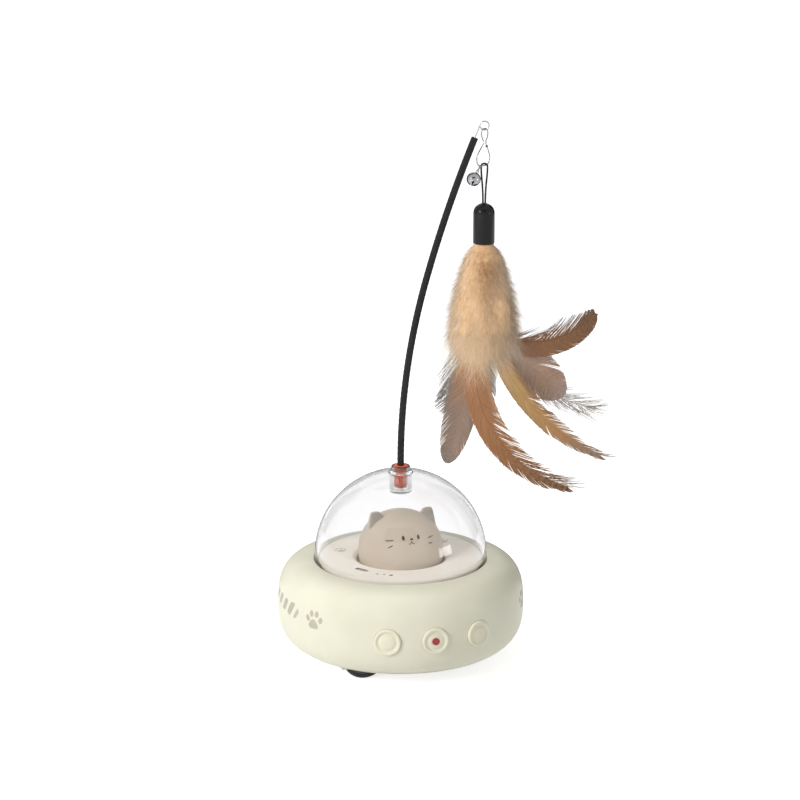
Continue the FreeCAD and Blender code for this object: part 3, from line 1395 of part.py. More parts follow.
NODES = {
    "body_shell": body_shell(),
    "bottom_cover": bottom_cover(),
    "case_screws": case_screws(),
    "dome": dome(),
    "deck_plate": deck_plate(),
    "cat_head": cat_head(),
    "led_lens": led_lens(BUTTONS[1]),
    "push_switches": switches(),
    "switch_boards": switch_boards(),
    "switch_bracket": switch_bracket(),
    "caster_ball": caster_ball(),
    "caster_cup": caster_cup(),
    "battery_cell": battery_cell(),
    "cell_holder": cell_holder(),
    "main_board": main_board(),
    "charge_port": charge_port(),
    "small_screws": small_screws(),
    "gear_pins": gear_pins(),
    "socket_collar": collar(),
    "wand_plug": wand_plug(),
    "wand_rod": wand_rod(),
    "wand_eye": wand_eye(),
    "snap_clasp": snap_clasp(),
    "clasp_sleeve": clasp_sleeve(),
    "bell_link": bell_link(),
    "bell": bell(),
    "bell_pellet": bell_pellet(),
    "elastic_loop": elastic_loop(),
    "feather_cap": feather_cap(),
    "feather_binding": feather_binding(),
    "feather_plume": plume(),
}

for name, spot in zip(BUTTON_NAMES, BUTTONS):
    NODES[name + "_button"] = button(spot, name == "middle")

for name, side in (("front", -1), ("rear", 1)):
    NODES[name + "_wheel_hub"] = wheel_hub(side)
    NODES[name + "_tyre"] = wheel_tyre(side)
    NODES[name + "_axle"] = axle(side)
    NODES[name + "_axle_gear"] = axle_gear(side)
    NODES[name + "_compound_gear"] = compound_gear(side)
    NODES[name + "_motor_pinion"] = motor_pinion(side)
    NODES[name + "_motor_shaft"] = motor_shaft(side)
    NODES[name + "_motor"] = drive_motor(side)
    NODES[name + "_gear_frame"] = gear_frame(side)

for name, sizes in FEATHERS.items():
    NODES[name] = feather(*sizes)

os.makedirs("parts", exist_ok=True)
for name, shape in NODES.items():
    shape.exportStep(os.path.join("parts", name + ".step"))
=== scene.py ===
import bpy
import bmesh
import math
import random
from mathutils import Matrix, Vector, noise
from mathutils.bvhtree import BVHTree


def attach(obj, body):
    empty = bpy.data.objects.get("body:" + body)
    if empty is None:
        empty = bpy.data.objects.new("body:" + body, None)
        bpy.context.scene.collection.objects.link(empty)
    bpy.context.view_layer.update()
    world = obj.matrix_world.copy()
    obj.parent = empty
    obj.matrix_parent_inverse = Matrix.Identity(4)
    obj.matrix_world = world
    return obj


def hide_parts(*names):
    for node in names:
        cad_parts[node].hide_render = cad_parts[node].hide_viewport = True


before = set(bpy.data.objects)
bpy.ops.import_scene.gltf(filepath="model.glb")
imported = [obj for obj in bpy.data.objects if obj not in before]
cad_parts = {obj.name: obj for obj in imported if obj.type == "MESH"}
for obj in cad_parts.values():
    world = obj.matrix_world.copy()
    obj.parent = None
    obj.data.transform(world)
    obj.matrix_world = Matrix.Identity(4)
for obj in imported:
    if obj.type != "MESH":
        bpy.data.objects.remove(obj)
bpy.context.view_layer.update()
scene = bpy.context.scene
scene.view_settings.view_transform = "Standard"


# Camera: a long portrait lens on a tripod, a little above the toy and to its left, square on to
# the buttons and the bent wand.
CAMERA_AIM = Vector((0.0, 0.0, 0.11894))
CAMERA_BACK = 1.382
CAMERA_TURN = math.radians(-17.5)
CAMERA_DOWN = math.radians(15.23)

lens = bpy.data.cameras.new("portrait_lens")
lens.lens = 135.0
lens.sensor_width = 36.0
lens.shift_x = -0.000825
camera = bpy.data.objects.new("camera", lens)
scene.collection.objects.link(camera)
back = Vector((math.sin(CAMERA_TURN) * math.cos(CAMERA_DOWN),
               -math.cos(CAMERA_TURN) * math.cos(CAMERA_DOWN),
               math.sin(CAMERA_DOWN)))
camera.location = CAMERA_AIM + back * CAMERA_BACK
camera.rotation_euler = back.to_track_quat("Z", "Y").to_euler()
scene.camera = camera


# Elastic loop: a limp round cord of braided black elastic. Both ends are set in the cap's resin,
# and the loop is slipped over the lower wire of the clasp.
ELASTIC_WIDTH = 0.9
LEAN = math.radians(-17.5)
HANG = 37.756
CAP_TOP = 211.319
CAP_FOOT = 192.819
CLASP_FOOT = 228.469
ELASTIC_SIDE = ((0.52, 206.019), (0.53, 210.219), (0.58, 215.319), (0.84, 219.919),
                (1.26, 223.919), (1.45, 227.049), (1.38, 229.449))


def leaned(across, forth, height):
    """Point in millimetres of the wand's own upright plane, turned to the bearing it leans to."""
    turned = Matrix.Rotation(LEAN, 3, "Z") @ Vector((across, forth, height))
    return turned * 0.001


def srgb(red, green, blue):
    """Colour as a photograph gives it, 0 to 255, for a shader's socket."""
    parts = []
    for value in (red, green, blue):
        value = value / 255
        parts.append(value / 12.92 if value <= 0.04045 else ((value + 0.055) / 1.055) ** 2.4)
    return (*parts, 1.0)


def feed(node, *inputs, **settings):
    """Set up a shader node: inputs in order, sockets by capitalised name, its own traits by small
    letters. A value that is a socket is linked. Gives the node's first live output."""
    named = []
    for name, value in settings.items():
        if name[0].islower():
            setattr(node, name, value)
        else:
            named.append((name.replace("_", " "), value))
    for key, value in [*enumerate(inputs), *named]:
        if isinstance(value, bpy.types.NodeSocket):
            node.id_data.links.new(value, node.inputs[key])
        else:
            node.inputs[key].default_value = value
    return next((socket for socket in node.outputs if socket.enabled), None)


def add(tree, kind, *inputs, **settings):
    """Add a shader node to a tree, set up as feed does."""
    return feed(tree.nodes.new("ShaderNode" + kind), *inputs, **settings)


def blank(name):
    """New material with its node tree, its Principled shader and its coordinate sockets."""
    material = bpy.data.materials.new(name)
    material.use_nodes = True
    tree = material.node_tree
    return material, tree, tree.nodes["Principled BSDF"], tree.nodes.new("ShaderNodeTexCoord").outputs


def noise_of(tree, place, scale, detail=4.0, stretch=None):
    """Noise texture over a place socket; stretch scales it along X, Y and Z first."""
    if stretch:
        place = add(tree, "Mapping", Scale=stretch, Vector=place)
    return add(tree, "TexNoise", Scale=scale, Detail=detail, Vector=place)


def ramp_of(tree, value, stops):
    """Colour ramp over a value socket; stops are (position, colour) pairs."""
    colour = add(tree, "ValToRGB", value)
    elements = colour.node.color_ramp.elements
    while len(elements) < len(stops):
        elements.new(0.5)
    for element, (position, tone) in zip(elements, stops):
        element.position = position
        element.color = tone
    return colour


def span_of(tree, value, low, high):
    """A value socket of 0.3 to 0.7 spread over the span from low to high."""
    return add(tree, "MapRange", value, 0.3, 0.7, low, high)


def bump_of(tree, value, strength, depth):
    """Bump node over a height socket; depth is in metres."""
    return add(tree, "Bump", Strength=strength, Distance=depth, Height=value)


def moulded(name, light, dark, rough, cloud, grain, dent, **sockets):
    """Finish with clouded colour between two near shades, uneven gloss and a fine grain."""
    material, tree, shader, place = blank(name)
    clouds = noise_of(tree, place["Object"], cloud)
    specks = noise_of(tree, place["Object"], grain, 2.0)
    feed(shader, Base_Color=ramp_of(tree, clouds, ((0.3, srgb(*light)), (0.7, srgb(*dark)))),
         Roughness=span_of(tree, clouds, *rough), Normal=bump_of(tree, specks, 0.5, dent), **sockets)
    return material


def braided(name, light, dark, turns, pitch, dent):
    """Finish of a braided sleeve: two sets of crossing strands read from the piece's UV map."""
    material, tree, shader, place = blank(name)
    strands = []
    for hand in (1, -1):
        spread = add(tree, "Mapping", Scale=(turns * hand, pitch, 1), Vector=place["UV"])
        wave = add(tree, "TexWave", bands_direction="DIAGONAL", Scale=1.0, Vector=spread)
        strands.append(wave.node.outputs["Fac"])
    top = add(tree, "Math", *strands, operation="MAXIMUM")
    clouds = noise_of(tree, place["Object"], 400.0)
    feed(shader, Base_Color=ramp_of(tree, top, ((0.2, srgb(*dark)), (0.95, srgb(*light)))),
         Roughness=span_of(tree, clouds, 0.5, 0.7), Normal=bump_of(tree, top, 0.7, dent),
         Specular_IOR_Level=0.25)
    return material


def placed(name, data):
    """Put data into the scene as an object of that name."""
    piece = bpy.data.objects.new(name, data)
    scene.collection.objects.link(piece)
    return piece


def drawn(name, kind, **traits):
    """New curve data in space with one spline of a kind, and its traits."""
    curve = bpy.data.curves.new(name, "CURVE")
    curve.dimensions = "3D"
    for trait, value in traits.items():
        setattr(curve, trait, value)
    return curve, curve.splines.new(kind) if kind else None


def wire(name, points, width, order=3, cyclic=False):
    """Round wire or cord along a smooth line through or near its points, in metres."""
    curve, spline = drawn(name, "NURBS", bevel_depth=width / 2, bevel_resolution=3, resolution_u=8,
                          use_fill_caps=True)
    spline.points.add(len(points) - 1)
    for point, place in zip(spline.points, points):
        point.co = (*place, 1)
    spline.order_u = order
    spline.use_cyclic_u = cyclic
    spline.use_endpoint_u = not cyclic
    return placed(name, curve)


def belongs(piece, material, body, slot, *nodes):
    """Give a piece its finish and its body, and hide the nodes it stands for. The slot is not used."""
    if material and material.name not in piece.data.materials:
        piece.data.materials.append(material)
    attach(piece, body)
    if nodes:
        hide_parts(*nodes)
    return piece


elastic_points = [leaned(HANG - across, 0, height) for across, height in ELASTIC_SIDE]
elastic_points += [leaned(HANG + across, 0, height) for across, height in reversed(ELASTIC_SIDE)]
elastic = wire("elastic_loop_cord", elastic_points, ELASTIC_WIDTH * 0.001)
elastic_black = moulded("braided_elastic", (34, 33, 34), (16, 15, 16), rough=(0.55, 0.75),
                        cloud=900.0, grain=5200.0, dent=0.0002, Specular_IOR_Level=0.25)
belongs(elastic, elastic_black, "refill", "cord_black", "elastic_loop")


# Floor and light: a white table that carries on up behind the toy as a plain white ground. Soft
# lamps hang high on the left, low on the right and overhead, in a bright room. Dark cards out of
# the picture draw the rims of the clear dome and of the metal.
FLOOR = -0.005


def grey(shade):
    """Plain grey for a shader's socket."""
    return (shade, shade, shade, 1)


def seen_by_eye(tree):
    """1 for what the camera sees, straight or in glass and gloss, and 0 for what lights the toy."""
    path = tree.nodes.new("ShaderNodeLightPath").outputs
    seen = path["Is Camera Ray"]
    for name in ("Is Glossy Ray", "Is Transmission Ray"):
        seen = add(tree, "Math", seen, path[name], operation="MAXIMUM")
    return seen


def ground():
    """White table: it takes the toy's shadow, and shows white wherever nothing shades it."""
    material, tree, shader, place = blank("white_table")
    level = add(tree, "Math", seen_by_eye(tree), 0.72, operation="MULTIPLY")
    fleck = noise_of(tree, place["Object"], 300.0)
    feed(shader, Emission_Color=grey(1), Emission_Strength=level, Roughness=0.9, Specular_IOR_Level=0.1,
         Base_Color=ramp_of(tree, fleck, ((0.3, grey(0.80)), (0.7, grey(0.83)))))
    return material


def stood(name, mesh):
    """Put a mesh into the scene as an object of that name, and free it."""
    data = bpy.data.meshes.new(name)
    mesh.to_mesh(data)
    mesh.free()
    return placed(name, data)


def shift(mesh, x, y, z):
    bmesh.ops.translate(mesh, verts=mesh.verts, vec=(x, y, z))


def resize(mesh, x, y, z):
    bmesh.ops.scale(mesh, vec=(x, y, z), verts=mesh.verts)


def swing(mesh, angle, axis):
    bmesh.ops.rotate(mesh, cent=(0, 0, 0), matrix=Matrix.Rotation(angle, 3, axis), verts=mesh.verts)


def carry(mesh, matrix):
    bmesh.ops.transform(mesh, matrix=matrix, verts=mesh.verts)


def grid(across, along, size):
    """Flat grid mesh round the origin."""
    mesh = bmesh.new()
    bmesh.ops.create_grid(mesh, x_segments=across, y_segments=along, size=size)
    return mesh


table_mesh = grid(4, 4, 3.0)
shift(table_mesh, 0, 0, FLOOR)
table = stood("white_table", table_mesh)
table.data.materials.append(ground())

room = bpy.data.worlds.new("bright_room")
scene.world = room
room.use_nodes = True
room_level = add(room.node_tree, "MapRange", seen_by_eye(room.node_tree), To_Min=0.36, To_Max=1.0)
feed(room.node_tree.nodes["Background"], Strength=room_level, Color=grey(1))


def softbox(name, place, width, height, power, mirrored):
    """Soft lamp that looks at the middle of the toy. Only a mirrored one shows as a highlight."""
    lamp = bpy.data.lights.new(name, "AREA")
    lamp.shape = "RECTANGLE"
    lamp.size = width
    lamp.size_y = height
    lamp.energy = power
    holder = placed(name, lamp)
    holder.location = place
    holder.visible_glossy = mirrored
    holder.visible_transmission = mirrored
    aim = Vector(place) - Vector((0, 0, 0.08))
    holder.rotation_euler = aim.to_track_quat("Z", "Y").to_euler()
    return holder


def hung(name, mesh, shade):
    """Put up a dark card that only reflections see."""
    card = stood(name, mesh)
    material, tree, shader, place = blank(name)
    cloth = noise_of(tree, place["Object"], 40.0)
    feed(shader, Base_Color=ramp_of(tree, cloth, ((0.3, grey(shade)), (0.7, grey(shade * 0.8)))),
         Roughness=1.0)
    card.data.materials.append(material)
    card.visible_camera = card.visible_diffuse = False
    card.visible_transmission = card.visible_shadow = False


def flag(name, bearing, distance, width, low, high, shade):
    """Upright dark card out of the picture."""
    mesh = grid(1, 1, 0.5)
    resize(mesh, width, high - low, 1)
    swing(mesh, math.pi / 2, "X")
    shift(mesh, 0, distance, (low + high) / 2)
    swing(mesh, math.radians(-bearing), "Z")
    hung(name, mesh, shade)


def floor_flag(name, bearing, near, far, half_angle, shade):
    """Dark cloth on the table behind the toy, seen only in the dome's and the metal's rims."""
    mesh = grid(24, 1, 0.5)
    for vert in mesh.verts:
        turn = math.radians(bearing + 2 * half_angle * vert.co.x)
        reach = near + (far - near) * (vert.co.y + 0.5)
        vert.co = Vector((math.sin(turn) * reach, math.cos(turn) * reach, FLOOR + 0.0004))
    hung(name, mesh, shade)


softbox("key_lamp", (-1.6, -0.65, 0.95), 0.8, 0.8, 25.0, False)
softbox("fill_lamp", (0.95, -0.91, 0.28), 0.46, 0.24, 1.6, True)
softbox("top_lamp", (-0.35, 0.1, 1.6), 1.0, 1.0, 6.5, False)
glint_lamp = softbox("glint_lamp", (-1.6, -0.65, 0.95), 0.5, 0.5, 60.0, True)
flag("front_flag", 197.5, 1.3, 1.3, 0.85, 1.7, 0.03)
flag("right_flag", 62.0, 1.1, 0.7, 0.0, 1.2, 0.02)
flag("left_flag", -24.0, 1.1, 0.4, 0.0, 0.9, 0.2)
flag("middle_flag", 17.0, 1.1, 0.9, 0.0, 0.42, 0.03)
flag("high_flag", 17.0, 0.6, 0.9, 1.0, 1.35, 0.02)
floor_flag("floor_flag", 17.5, 0.13, 1.1, 42.0, 0.16)


# Upper casing: one injection moulding in satin cream ABS with soft shoulders. It is open at the
# crown for the dome, and its wall is pierced for the three buttons and the charging port.
BODY_RADIUS = 57.5
BODY_HEIGHT = 43.2
BODY_WIDEST = 21.6
SPLIT = 3.5
SHELL_WALL = 2.0
CROWN_HOLE = 40.35
CROWN_LIP = 41.2
LOW_FLAT, LOW_FULLNESS = 30.7, 2.73
TOP_FLAT, TOP_FULLNESS = 38.3, 2.99
BUTTON_RADIUS = 6.2
BUTTON_TURNS = (-23.5, -1.6, 20.6)
BUTTON_HEIGHT = 21.2
PORT_MIDDLE = 27.25


def body_radius(height, inset=0.0):
    """Radius of the casing's outline at a height, drawn in by inset."""
    if height <= BODY_WIDEST:
        flat, fullness = LOW_FLAT, LOW_FULLNESS
        share = (BODY_WIDEST - height) / (BODY_WIDEST - inset)
    else:
        flat, fullness = TOP_FLAT, TOP_FULLNESS
        share = (height - BODY_WIDEST) / (BODY_HEIGHT - inset - BODY_WIDEST)
    return flat + (BODY_RADIUS - inset - flat) * (1 - min(1, share) ** fullness) ** (1 / fullness)


def turned(outline, steps=96, closed=True):
    """Mesh turned about Z from an outline of (radius, height) points, in millimetres."""
    mesh = bmesh.new()
    points = [mesh.verts.new((radius, 0, height)) for radius, height in outline]
    edges = [mesh.edges.new(pair) for pair in zip(points, points[1:])]
    if closed:
        edges.append(mesh.edges.new((points[-1], points[0])))
    bmesh.ops.spin(mesh, geom=points + edges, cent=(0, 0, 0), axis=(0, 0, 1),
                   angle=2 * math.pi, steps=steps, use_merge=True, use_duplicate=False)
    bmesh.ops.remove_doubles(mesh, verts=mesh.verts, dist=0.0005)
    bmesh.ops.recalc_face_normals(mesh, faces=mesh.faces)
    return mesh


def shown(name, mesh, sharp=35.0, scale=0.001):
    """Object from a mesh in millimetres, smooth but for edges over the sharp angle."""
    resize(mesh, scale, scale, scale)
    return smooth(stood(name, mesh), sharp)


def smooth(piece, sharp):
    """Shade a piece smooth, but for edges over the sharp angle."""
    piece.data.shade_smooth()
    piece.data.set_sharp_from_angle(angle=math.radians(sharp))
    return piece


def as_drawn(piece):
    """Mesh data of a piece with its modifiers worked out."""
    bpy.context.view_layer.update()
    graph = bpy.context.evaluated_depsgraph_get()
    return bpy.data.meshes.new_from_object(piece.evaluated_get(graph))


def settled(piece, sharp):
    """Work a piece's modifiers into its mesh."""
    data = as_drawn(piece)
    piece.modifiers.clear()
    piece.data = data
    return smooth(piece, sharp)


def pierced(piece, cutters, sharp=35.0):
    """Cut other objects out of a piece, and put them away."""
    for cutter in cutters:
        knife = piece.modifiers.new("cut", "BOOLEAN")
        knife.object = cutter
        knife.operation = "DIFFERENCE"
        knife.solver = "EXACT"
    settled(piece, sharp)
    for cutter in cutters:
        bpy.data.objects.remove(cutter)
    return piece


def button_place(turn):
    """Matrix from a button's own frame, +Z outwards and the casing's surface at Z 0."""
    rise = body_radius(BUTTON_HEIGHT + 0.5) - body_radius(BUTTON_HEIGHT - 0.5)
    tilt = math.atan2(rise, 1.0)
    bearing = math.radians(turn - 90)
    radius = body_radius(BUTTON_HEIGHT)
    spot = Vector((radius * math.cos(bearing), radius * math.sin(bearing), BUTTON_HEIGHT))
    return (Matrix.Translation(spot) @ Matrix.Rotation(bearing, 4, "Z")
            @ Matrix.Rotation(tilt, 4, "Y") @ Matrix.Rotation(math.pi / 2, 4, "Y"))


def shell_outline():
    """Section of the casing's wall: outside up, over the rolled crown edge, and inside down."""
    steps = 44
    rows = []
    low = math.acos(((BODY_WIDEST - SPLIT - 0.35) / BODY_WIDEST) ** (LOW_FULLNESS / 2))
    rows.append((body_radius(SPLIT) - 0.45, SPLIT))
    for i in range(steps + 1):
        t = low + (math.pi / 2 - low) * i / steps
        across = math.sin(t) ** (2 / LOW_FULLNESS)
        rows.append((LOW_FLAT + (BODY_RADIUS - LOW_FLAT) * across,
                     BODY_WIDEST - BODY_WIDEST * math.cos(t) ** (2 / LOW_FULLNESS)))
    for i in range(1, steps + 1):
        t = math.pi / 2 * i / steps
        radius = TOP_FLAT + (BODY_RADIUS - TOP_FLAT) * math.cos(t) ** (2 / TOP_FULLNESS)
        height = BODY_WIDEST + (BODY_HEIGHT - BODY_WIDEST) * math.sin(t) ** (2 / TOP_FULLNESS)
        if radius > CROWN_HOLE + 0.6:
            rows.append((radius, height))
    rows += [(CROWN_HOLE + 0.45, 43.16), (CROWN_HOLE + 0.13, 43.0), (CROWN_HOLE, 42.7),
             (CROWN_HOLE, CROWN_LIP)]
    for i in range(steps // 2 + 1):
        height = CROWN_LIP - (CROWN_LIP - BODY_WIDEST) * (1 - (1 - i / (steps / 2)) ** 2)
        radius = body_radius(height, SHELL_WALL)
        if radius > CROWN_HOLE + 0.3:
            rows.append((radius, height))
    for i in range(1, steps // 2 + 1):
        height = BODY_WIDEST - (BODY_WIDEST - SPLIT) * i / (steps / 2)
        rows.append((body_radius(height, SHELL_WALL), height))
    return rows


def stub(radius, low, high, place=None, steps=64):
    """Round cutter between two heights, moved by a matrix."""
    mesh = bmesh.new()
    bmesh.ops.create_cone(mesh, cap_ends=True, segments=steps, radius1=radius, radius2=radius,
                          depth=high - low)
    shift(mesh, 0, 0, (low + high) / 2)
    if place:
        carry(mesh, place)
    return shown("cutter", mesh)


def block(x, y, z):
    """Box mesh of three sizes round the origin."""
    mesh = bmesh.new()
    bmesh.ops.create_cube(mesh, size=1.0)
    resize(mesh, x, y, z)
    return mesh


def rounded(mesh, edges, offset, segments):
    bmesh.ops.bevel(mesh, geom=edges, offset=offset, affect="EDGES", segments=segments, profile=0.5,
                    material=-1)


def running(mesh, axis):
    """Edges of a box that run along an axis, 0 for X to 2 for Z."""
    return [e for e in mesh.edges if abs(e.verts[0].co[axis] - e.verts[1].co[axis]) > 1]


def slot_cutter(width, height, low, high, middle):
    """Round-ended cutter along Y."""
    mesh = block(width, high - low, height)
    rounded(mesh, running(mesh, 1), height * 0.47, 8)
    shift(mesh, 0, (low + high) / 2, middle)
    return shown("cutter", mesh)


cream = moulded("satin_cream", (230, 228, 207), (223, 221, 199), rough=(0.36, 0.46),
                cloud=45.0, grain=2200.0, dent=0.00003)
shell = shown("casing_upper", turned(shell_outline(), 192))
holes = [stub(BUTTON_RADIUS + 0.12, -7, 4, button_place(turn)) for turn in BUTTON_TURNS]
holes.append(slot_cutter(10.0, 4.3, 48, 60, PORT_MIDDLE))
pierced(shell, holes)
belongs(shell, cream, "base", "shell_cream", "body_shell")


# Pad-printed decoration: a grey-taupe paw and a row of slanted bars on each side of the casing,
# laid on as thin ink that follows the moulding's curve.
INK_THICK = 0.05


def absorb(target, part):
    """Add one mesh to another, and free it."""
    scratch = bpy.data.meshes.new("scratch")
    part.to_mesh(scratch)
    part.free()
    target.from_mesh(scratch)
    bpy.data.meshes.remove(scratch)


def stamped(target, middle, outline, wrap, rings=5, segments=28):
    """Add one ink patch to a mesh. outline gives its reach from the middle at an angle, and wrap
    puts a flat point on the moulding and tells which way is out."""
    patch = turned([(i / rings, 0) for i in range(rings + 1)], segments, closed=False)
    for vert in patch.verts:
        angle = math.atan2(vert.co.y, vert.co.x)
        share = vert.co.xy.length
        across, up = outline(angle)
        spot, out = wrap(middle[0] + across * share, middle[1] + up * share)
        edge = 1.0 if share < 0.95 else 0.2
        vert.co = spot + out * INK_THICK * edge
    bmesh.ops.recalc_face_normals(patch, faces=patch.faces)
    spot, out = wrap(*middle)
    if patch.faces[0].normal.dot(out) < 0:
        bmesh.ops.reverse_faces(patch, faces=patch.faces)
    absorb(target, patch)


def on_casing(bearing, height):
    """Point of the casing at a bearing from the front and a height, and the way out of it."""
    angle = math.radians(bearing - 90)
    radius = body_radius(height)
    slope = (body_radius(height + 0.2) - body_radius(height - 0.2)) / 0.4
    out = Vector((math.cos(angle), math.sin(angle), -slope)).normalized()
    return Vector((radius * math.cos(angle), radius * math.sin(angle), height)), out


def oval(half_width, half_height, lean=0.0):
    """Reach of an oval at an angle; lean turns it."""
    def reach(angle):
        across, up = half_width * math.cos(angle), half_height * math.sin(angle)
        return (across * math.cos(lean) - up * math.sin(lean),
                across * math.sin(lean) + up * math.cos(lean))
    return reach


def bar(corners, soft=5.0):
    """Reach of a four-sided bar with soft corners, given as offsets from its middle."""
    def reach(angle):
        c, s = math.cos(angle), math.sin(angle)
        size = (abs(c) ** soft + abs(s) ** soft) ** (-1 / soft)
        u, v = (size * c + 1) / 2, (size * s + 1) / 2
        low = [corners[0][k] * (1 - u) + corners[1][k] * u for k in (0, 1)]
        high = [corners[3][k] * (1 - u) + corners[2][k] * u for k in (0, 1)]
        return tuple(low[k] * (1 - v) + high[k] * v for k in (0, 1))
    return reach


def pad(half_width, half_height):
    """Reach of a paw's main pad: broad below with two lobes, narrow above."""
    def reach(angle):
        lobe = 1 - 0.14 * math.cos(3 * (angle + math.pi / 2)) + 0.04 * math.cos(2 * angle)
        return lobe * half_width * math.cos(angle), lobe * half_height * math.sin(angle)
    return reach


PAW_TOES = ((-64.9, 26.7), (-62.6, 29.1), (-59.4, 29.3), (-57.0, 26.9))
BARS = (
    ((-76.9, 23.7), (-74.9, 23.4), (-71.8, 27.0), (-72.9, 29.1)),
    ((-83.1, 24.4), (-80.1, 23.2), (-74.9, 30.5), (-79.2, 30.4)),
    ((-89.4, 24.3), (-85.4, 24.3), (-82.1, 30.1), (-85.6, 30.5)),
    ((-95.8, 25.0), (-91.8, 25.3), (-88.6, 30.6), (-92.3, 31.1)),
    ((-102.4, 25.6), (-98.4, 25.5), (-95.2, 30.8), (-99.0, 31.3)),
)
DEGREE = math.radians(1) * BODY_RADIUS


def side_print(name, side):
    """Paw and bars of one side, flat in millimetres round the front, wrapped on the casing."""
    mesh = bmesh.new()

    def wrap(across, height):
        return on_casing(side * across / DEGREE, height)
    stamped(mesh, (-61.4 * DEGREE, 24.2), pad(2.75, 2.3), wrap)
    for bearing, height in PAW_TOES:
        lean = math.radians((-61.0 - bearing) * 6)
        stamped(mesh, (bearing * DEGREE, height), oval(1.2, 1.55, lean), wrap)
    for corners in BARS:
        middle = [sum(c[k] for c in corners) / 4 for k in (0, 1)]
        offsets = [((c[0] - middle[0]) * DEGREE, c[1] - middle[1]) for c in corners]
        stamped(mesh, (middle[0] * DEGREE, middle[1]), bar(offsets), wrap, rings=4, segments=32)
    return shown(name, mesh, 60)


ink = moulded("taupe_ink", (190, 184, 168), (180, 174, 158), rough=(0.45, 0.6),
              cloud=120.0, grain=3000.0, dent=0.00002)
for name, side in (("print_left", 1), ("print_right", -1)):
    belongs(side_print(name, side), ink, "base", "shell_cream")


# Lower casing: the dished closing plate of the same cream ABS, with arches for the wheels, sunk
# screw heads and the caster's seat. It meets the upper casing at a fine shadow line.
def copied(data):
    """Editable mesh of mesh data."""
    mesh = bmesh.new()
    mesh.from_mesh(data)
    return mesh


def smoothed(name, node, sharp=28.0):
    """Smooth copy of a node whose shape is already right, with its loose faces joined."""
    mesh = copied(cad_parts[node].data)
    bmesh.ops.remove_doubles(mesh, verts=mesh.verts, dist=0.000002)
    return shown(name, mesh, sharp, 1.0)


cover_cream = moulded("satin_cream_cover", (229, 226, 205), (221, 218, 197),
                      rough=(0.4, 0.52), cloud=60.0, grain=2000.0, dent=0.00004)
belongs(smoothed("casing_lower", "bottom_cover"), cover_cream, "base", "cover_cream", "bottom_cover")


# Clear dome: one blown-clear moulding with its wand socket hanging from the top, clamped by its
# flange between the casing and the deck. Lamps shine through it on to the cat's head.
DOME_RADIUS = 40.1
DOME_WALL = 1.6
DOME_MIDDLE = 45.0
DOME_RIM = 85.2
SOCKET_FLOOR = 76.5
SOCKET_RADIUS = 5.15
SOCKET_BORE = 3.05
CLAMP_RADIUS = 43.0
CLAMP_TOP = 41.0
CLAMP_FOOT = 39.5


def dome_outline():
    """Section of the dome from the socket's bore over the outside and back up the inside."""
    steps = 40
    rows = [(0, SOCKET_FLOOR), (SOCKET_BORE - 0.3, SOCKET_FLOOR), (SOCKET_BORE, SOCKET_FLOOR + 0.3),
            (SOCKET_BORE, DOME_RIM - 0.2), (SOCKET_BORE + 0.2, DOME_RIM),
            (SOCKET_RADIUS - 0.3, DOME_RIM), (SOCKET_RADIUS, DOME_RIM - 0.25)]
    first = math.asin((SOCKET_RADIUS + 0.15) / DOME_RADIUS)
    for i in range(steps + 1):
        t = first + (math.pi / 2 - first) * i / steps
        rows.append((DOME_RADIUS * math.sin(t), DOME_MIDDLE + DOME_RADIUS * math.cos(t)))
    rows += [(DOME_RADIUS, CLAMP_TOP + 0.4), (DOME_RADIUS + 0.3, CLAMP_TOP),
             (CLAMP_RADIUS, CLAMP_TOP), (CLAMP_RADIUS, CLAMP_FOOT),
             (DOME_RADIUS - DOME_WALL, CLAMP_FOOT)]
    inner = DOME_RADIUS - DOME_WALL
    last = math.asin((SOCKET_RADIUS + 0.5) / inner)
    for i in range(steps + 1):
        t = math.pi / 2 + (last - math.pi / 2) * i / steps
        rows.append((inner * math.sin(t), DOME_MIDDLE + inner * math.cos(t)))
    neck = rows[-1][1]
    rows += [(SOCKET_RADIUS + 0.12, neck - 0.35), (SOCKET_RADIUS, neck - 0.8),
             (SOCKET_RADIUS, SOCKET_FLOOR - 1.2), (SOCKET_RADIUS - 0.3, SOCKET_FLOOR - 1.75),
             (SOCKET_RADIUS - 0.9, SOCKET_FLOOR - 2.0), (0, SOCKET_FLOOR - 2.0)]
    return rows


def clear_plastic(name, tint, shade, rough):
    """Clear moulding: refracting to the eye, and open to the lamps that light what is inside."""
    material, tree, shader, place = blank(name)
    haze = noise_of(tree, place["Object"], 30.0, 6.0)
    ripple = noise_of(tree, place["Object"], 25.0, 1.0)
    feed(shader, Base_Color=tint, Transmission_Weight=1.0, IOR=1.49,
         Roughness=span_of(tree, haze, *rough), Normal=bump_of(tree, ripple, 0.15, 0.0003))
    open_way = add(tree, "BsdfTransparent", Color=shade)
    shadow = tree.nodes.new("ShaderNodeLightPath").outputs["Is Shadow Ray"]
    mix = add(tree, "MixShader", shadow, shader.outputs["BSDF"], open_way)
    feed(tree.nodes["Material Output"], Surface=mix)
    return material


clear = clear_plastic("clear_dome_plastic", (0.865, 0.862, 0.87, 1), (0.98, 0.98, 0.98, 1),
                      (0.01, 0.05))
belongs(shown("dome_shell", turned(dome_outline(), 160, closed=False), 40), clear, "base", "clear",
        "dome")


# Deck: the cream ABS plate clamped in the casing under the dome, with a dished well for the head.
# A short slot and three dots are let shallowly into it, their walls and floors painted darker as shade,
# and faint paws are printed on it.
DECK_RADIUS = 38.3
DECK_TOP = 44.0
WELL_RADIUS = 20.7
WELL_FLOOR = 39.0
SLOT_LONG, SLOT_WIDE, SLOT_BEARING = 7.0, 2.6, -56.8
RECESS_DEPTH = 0.6


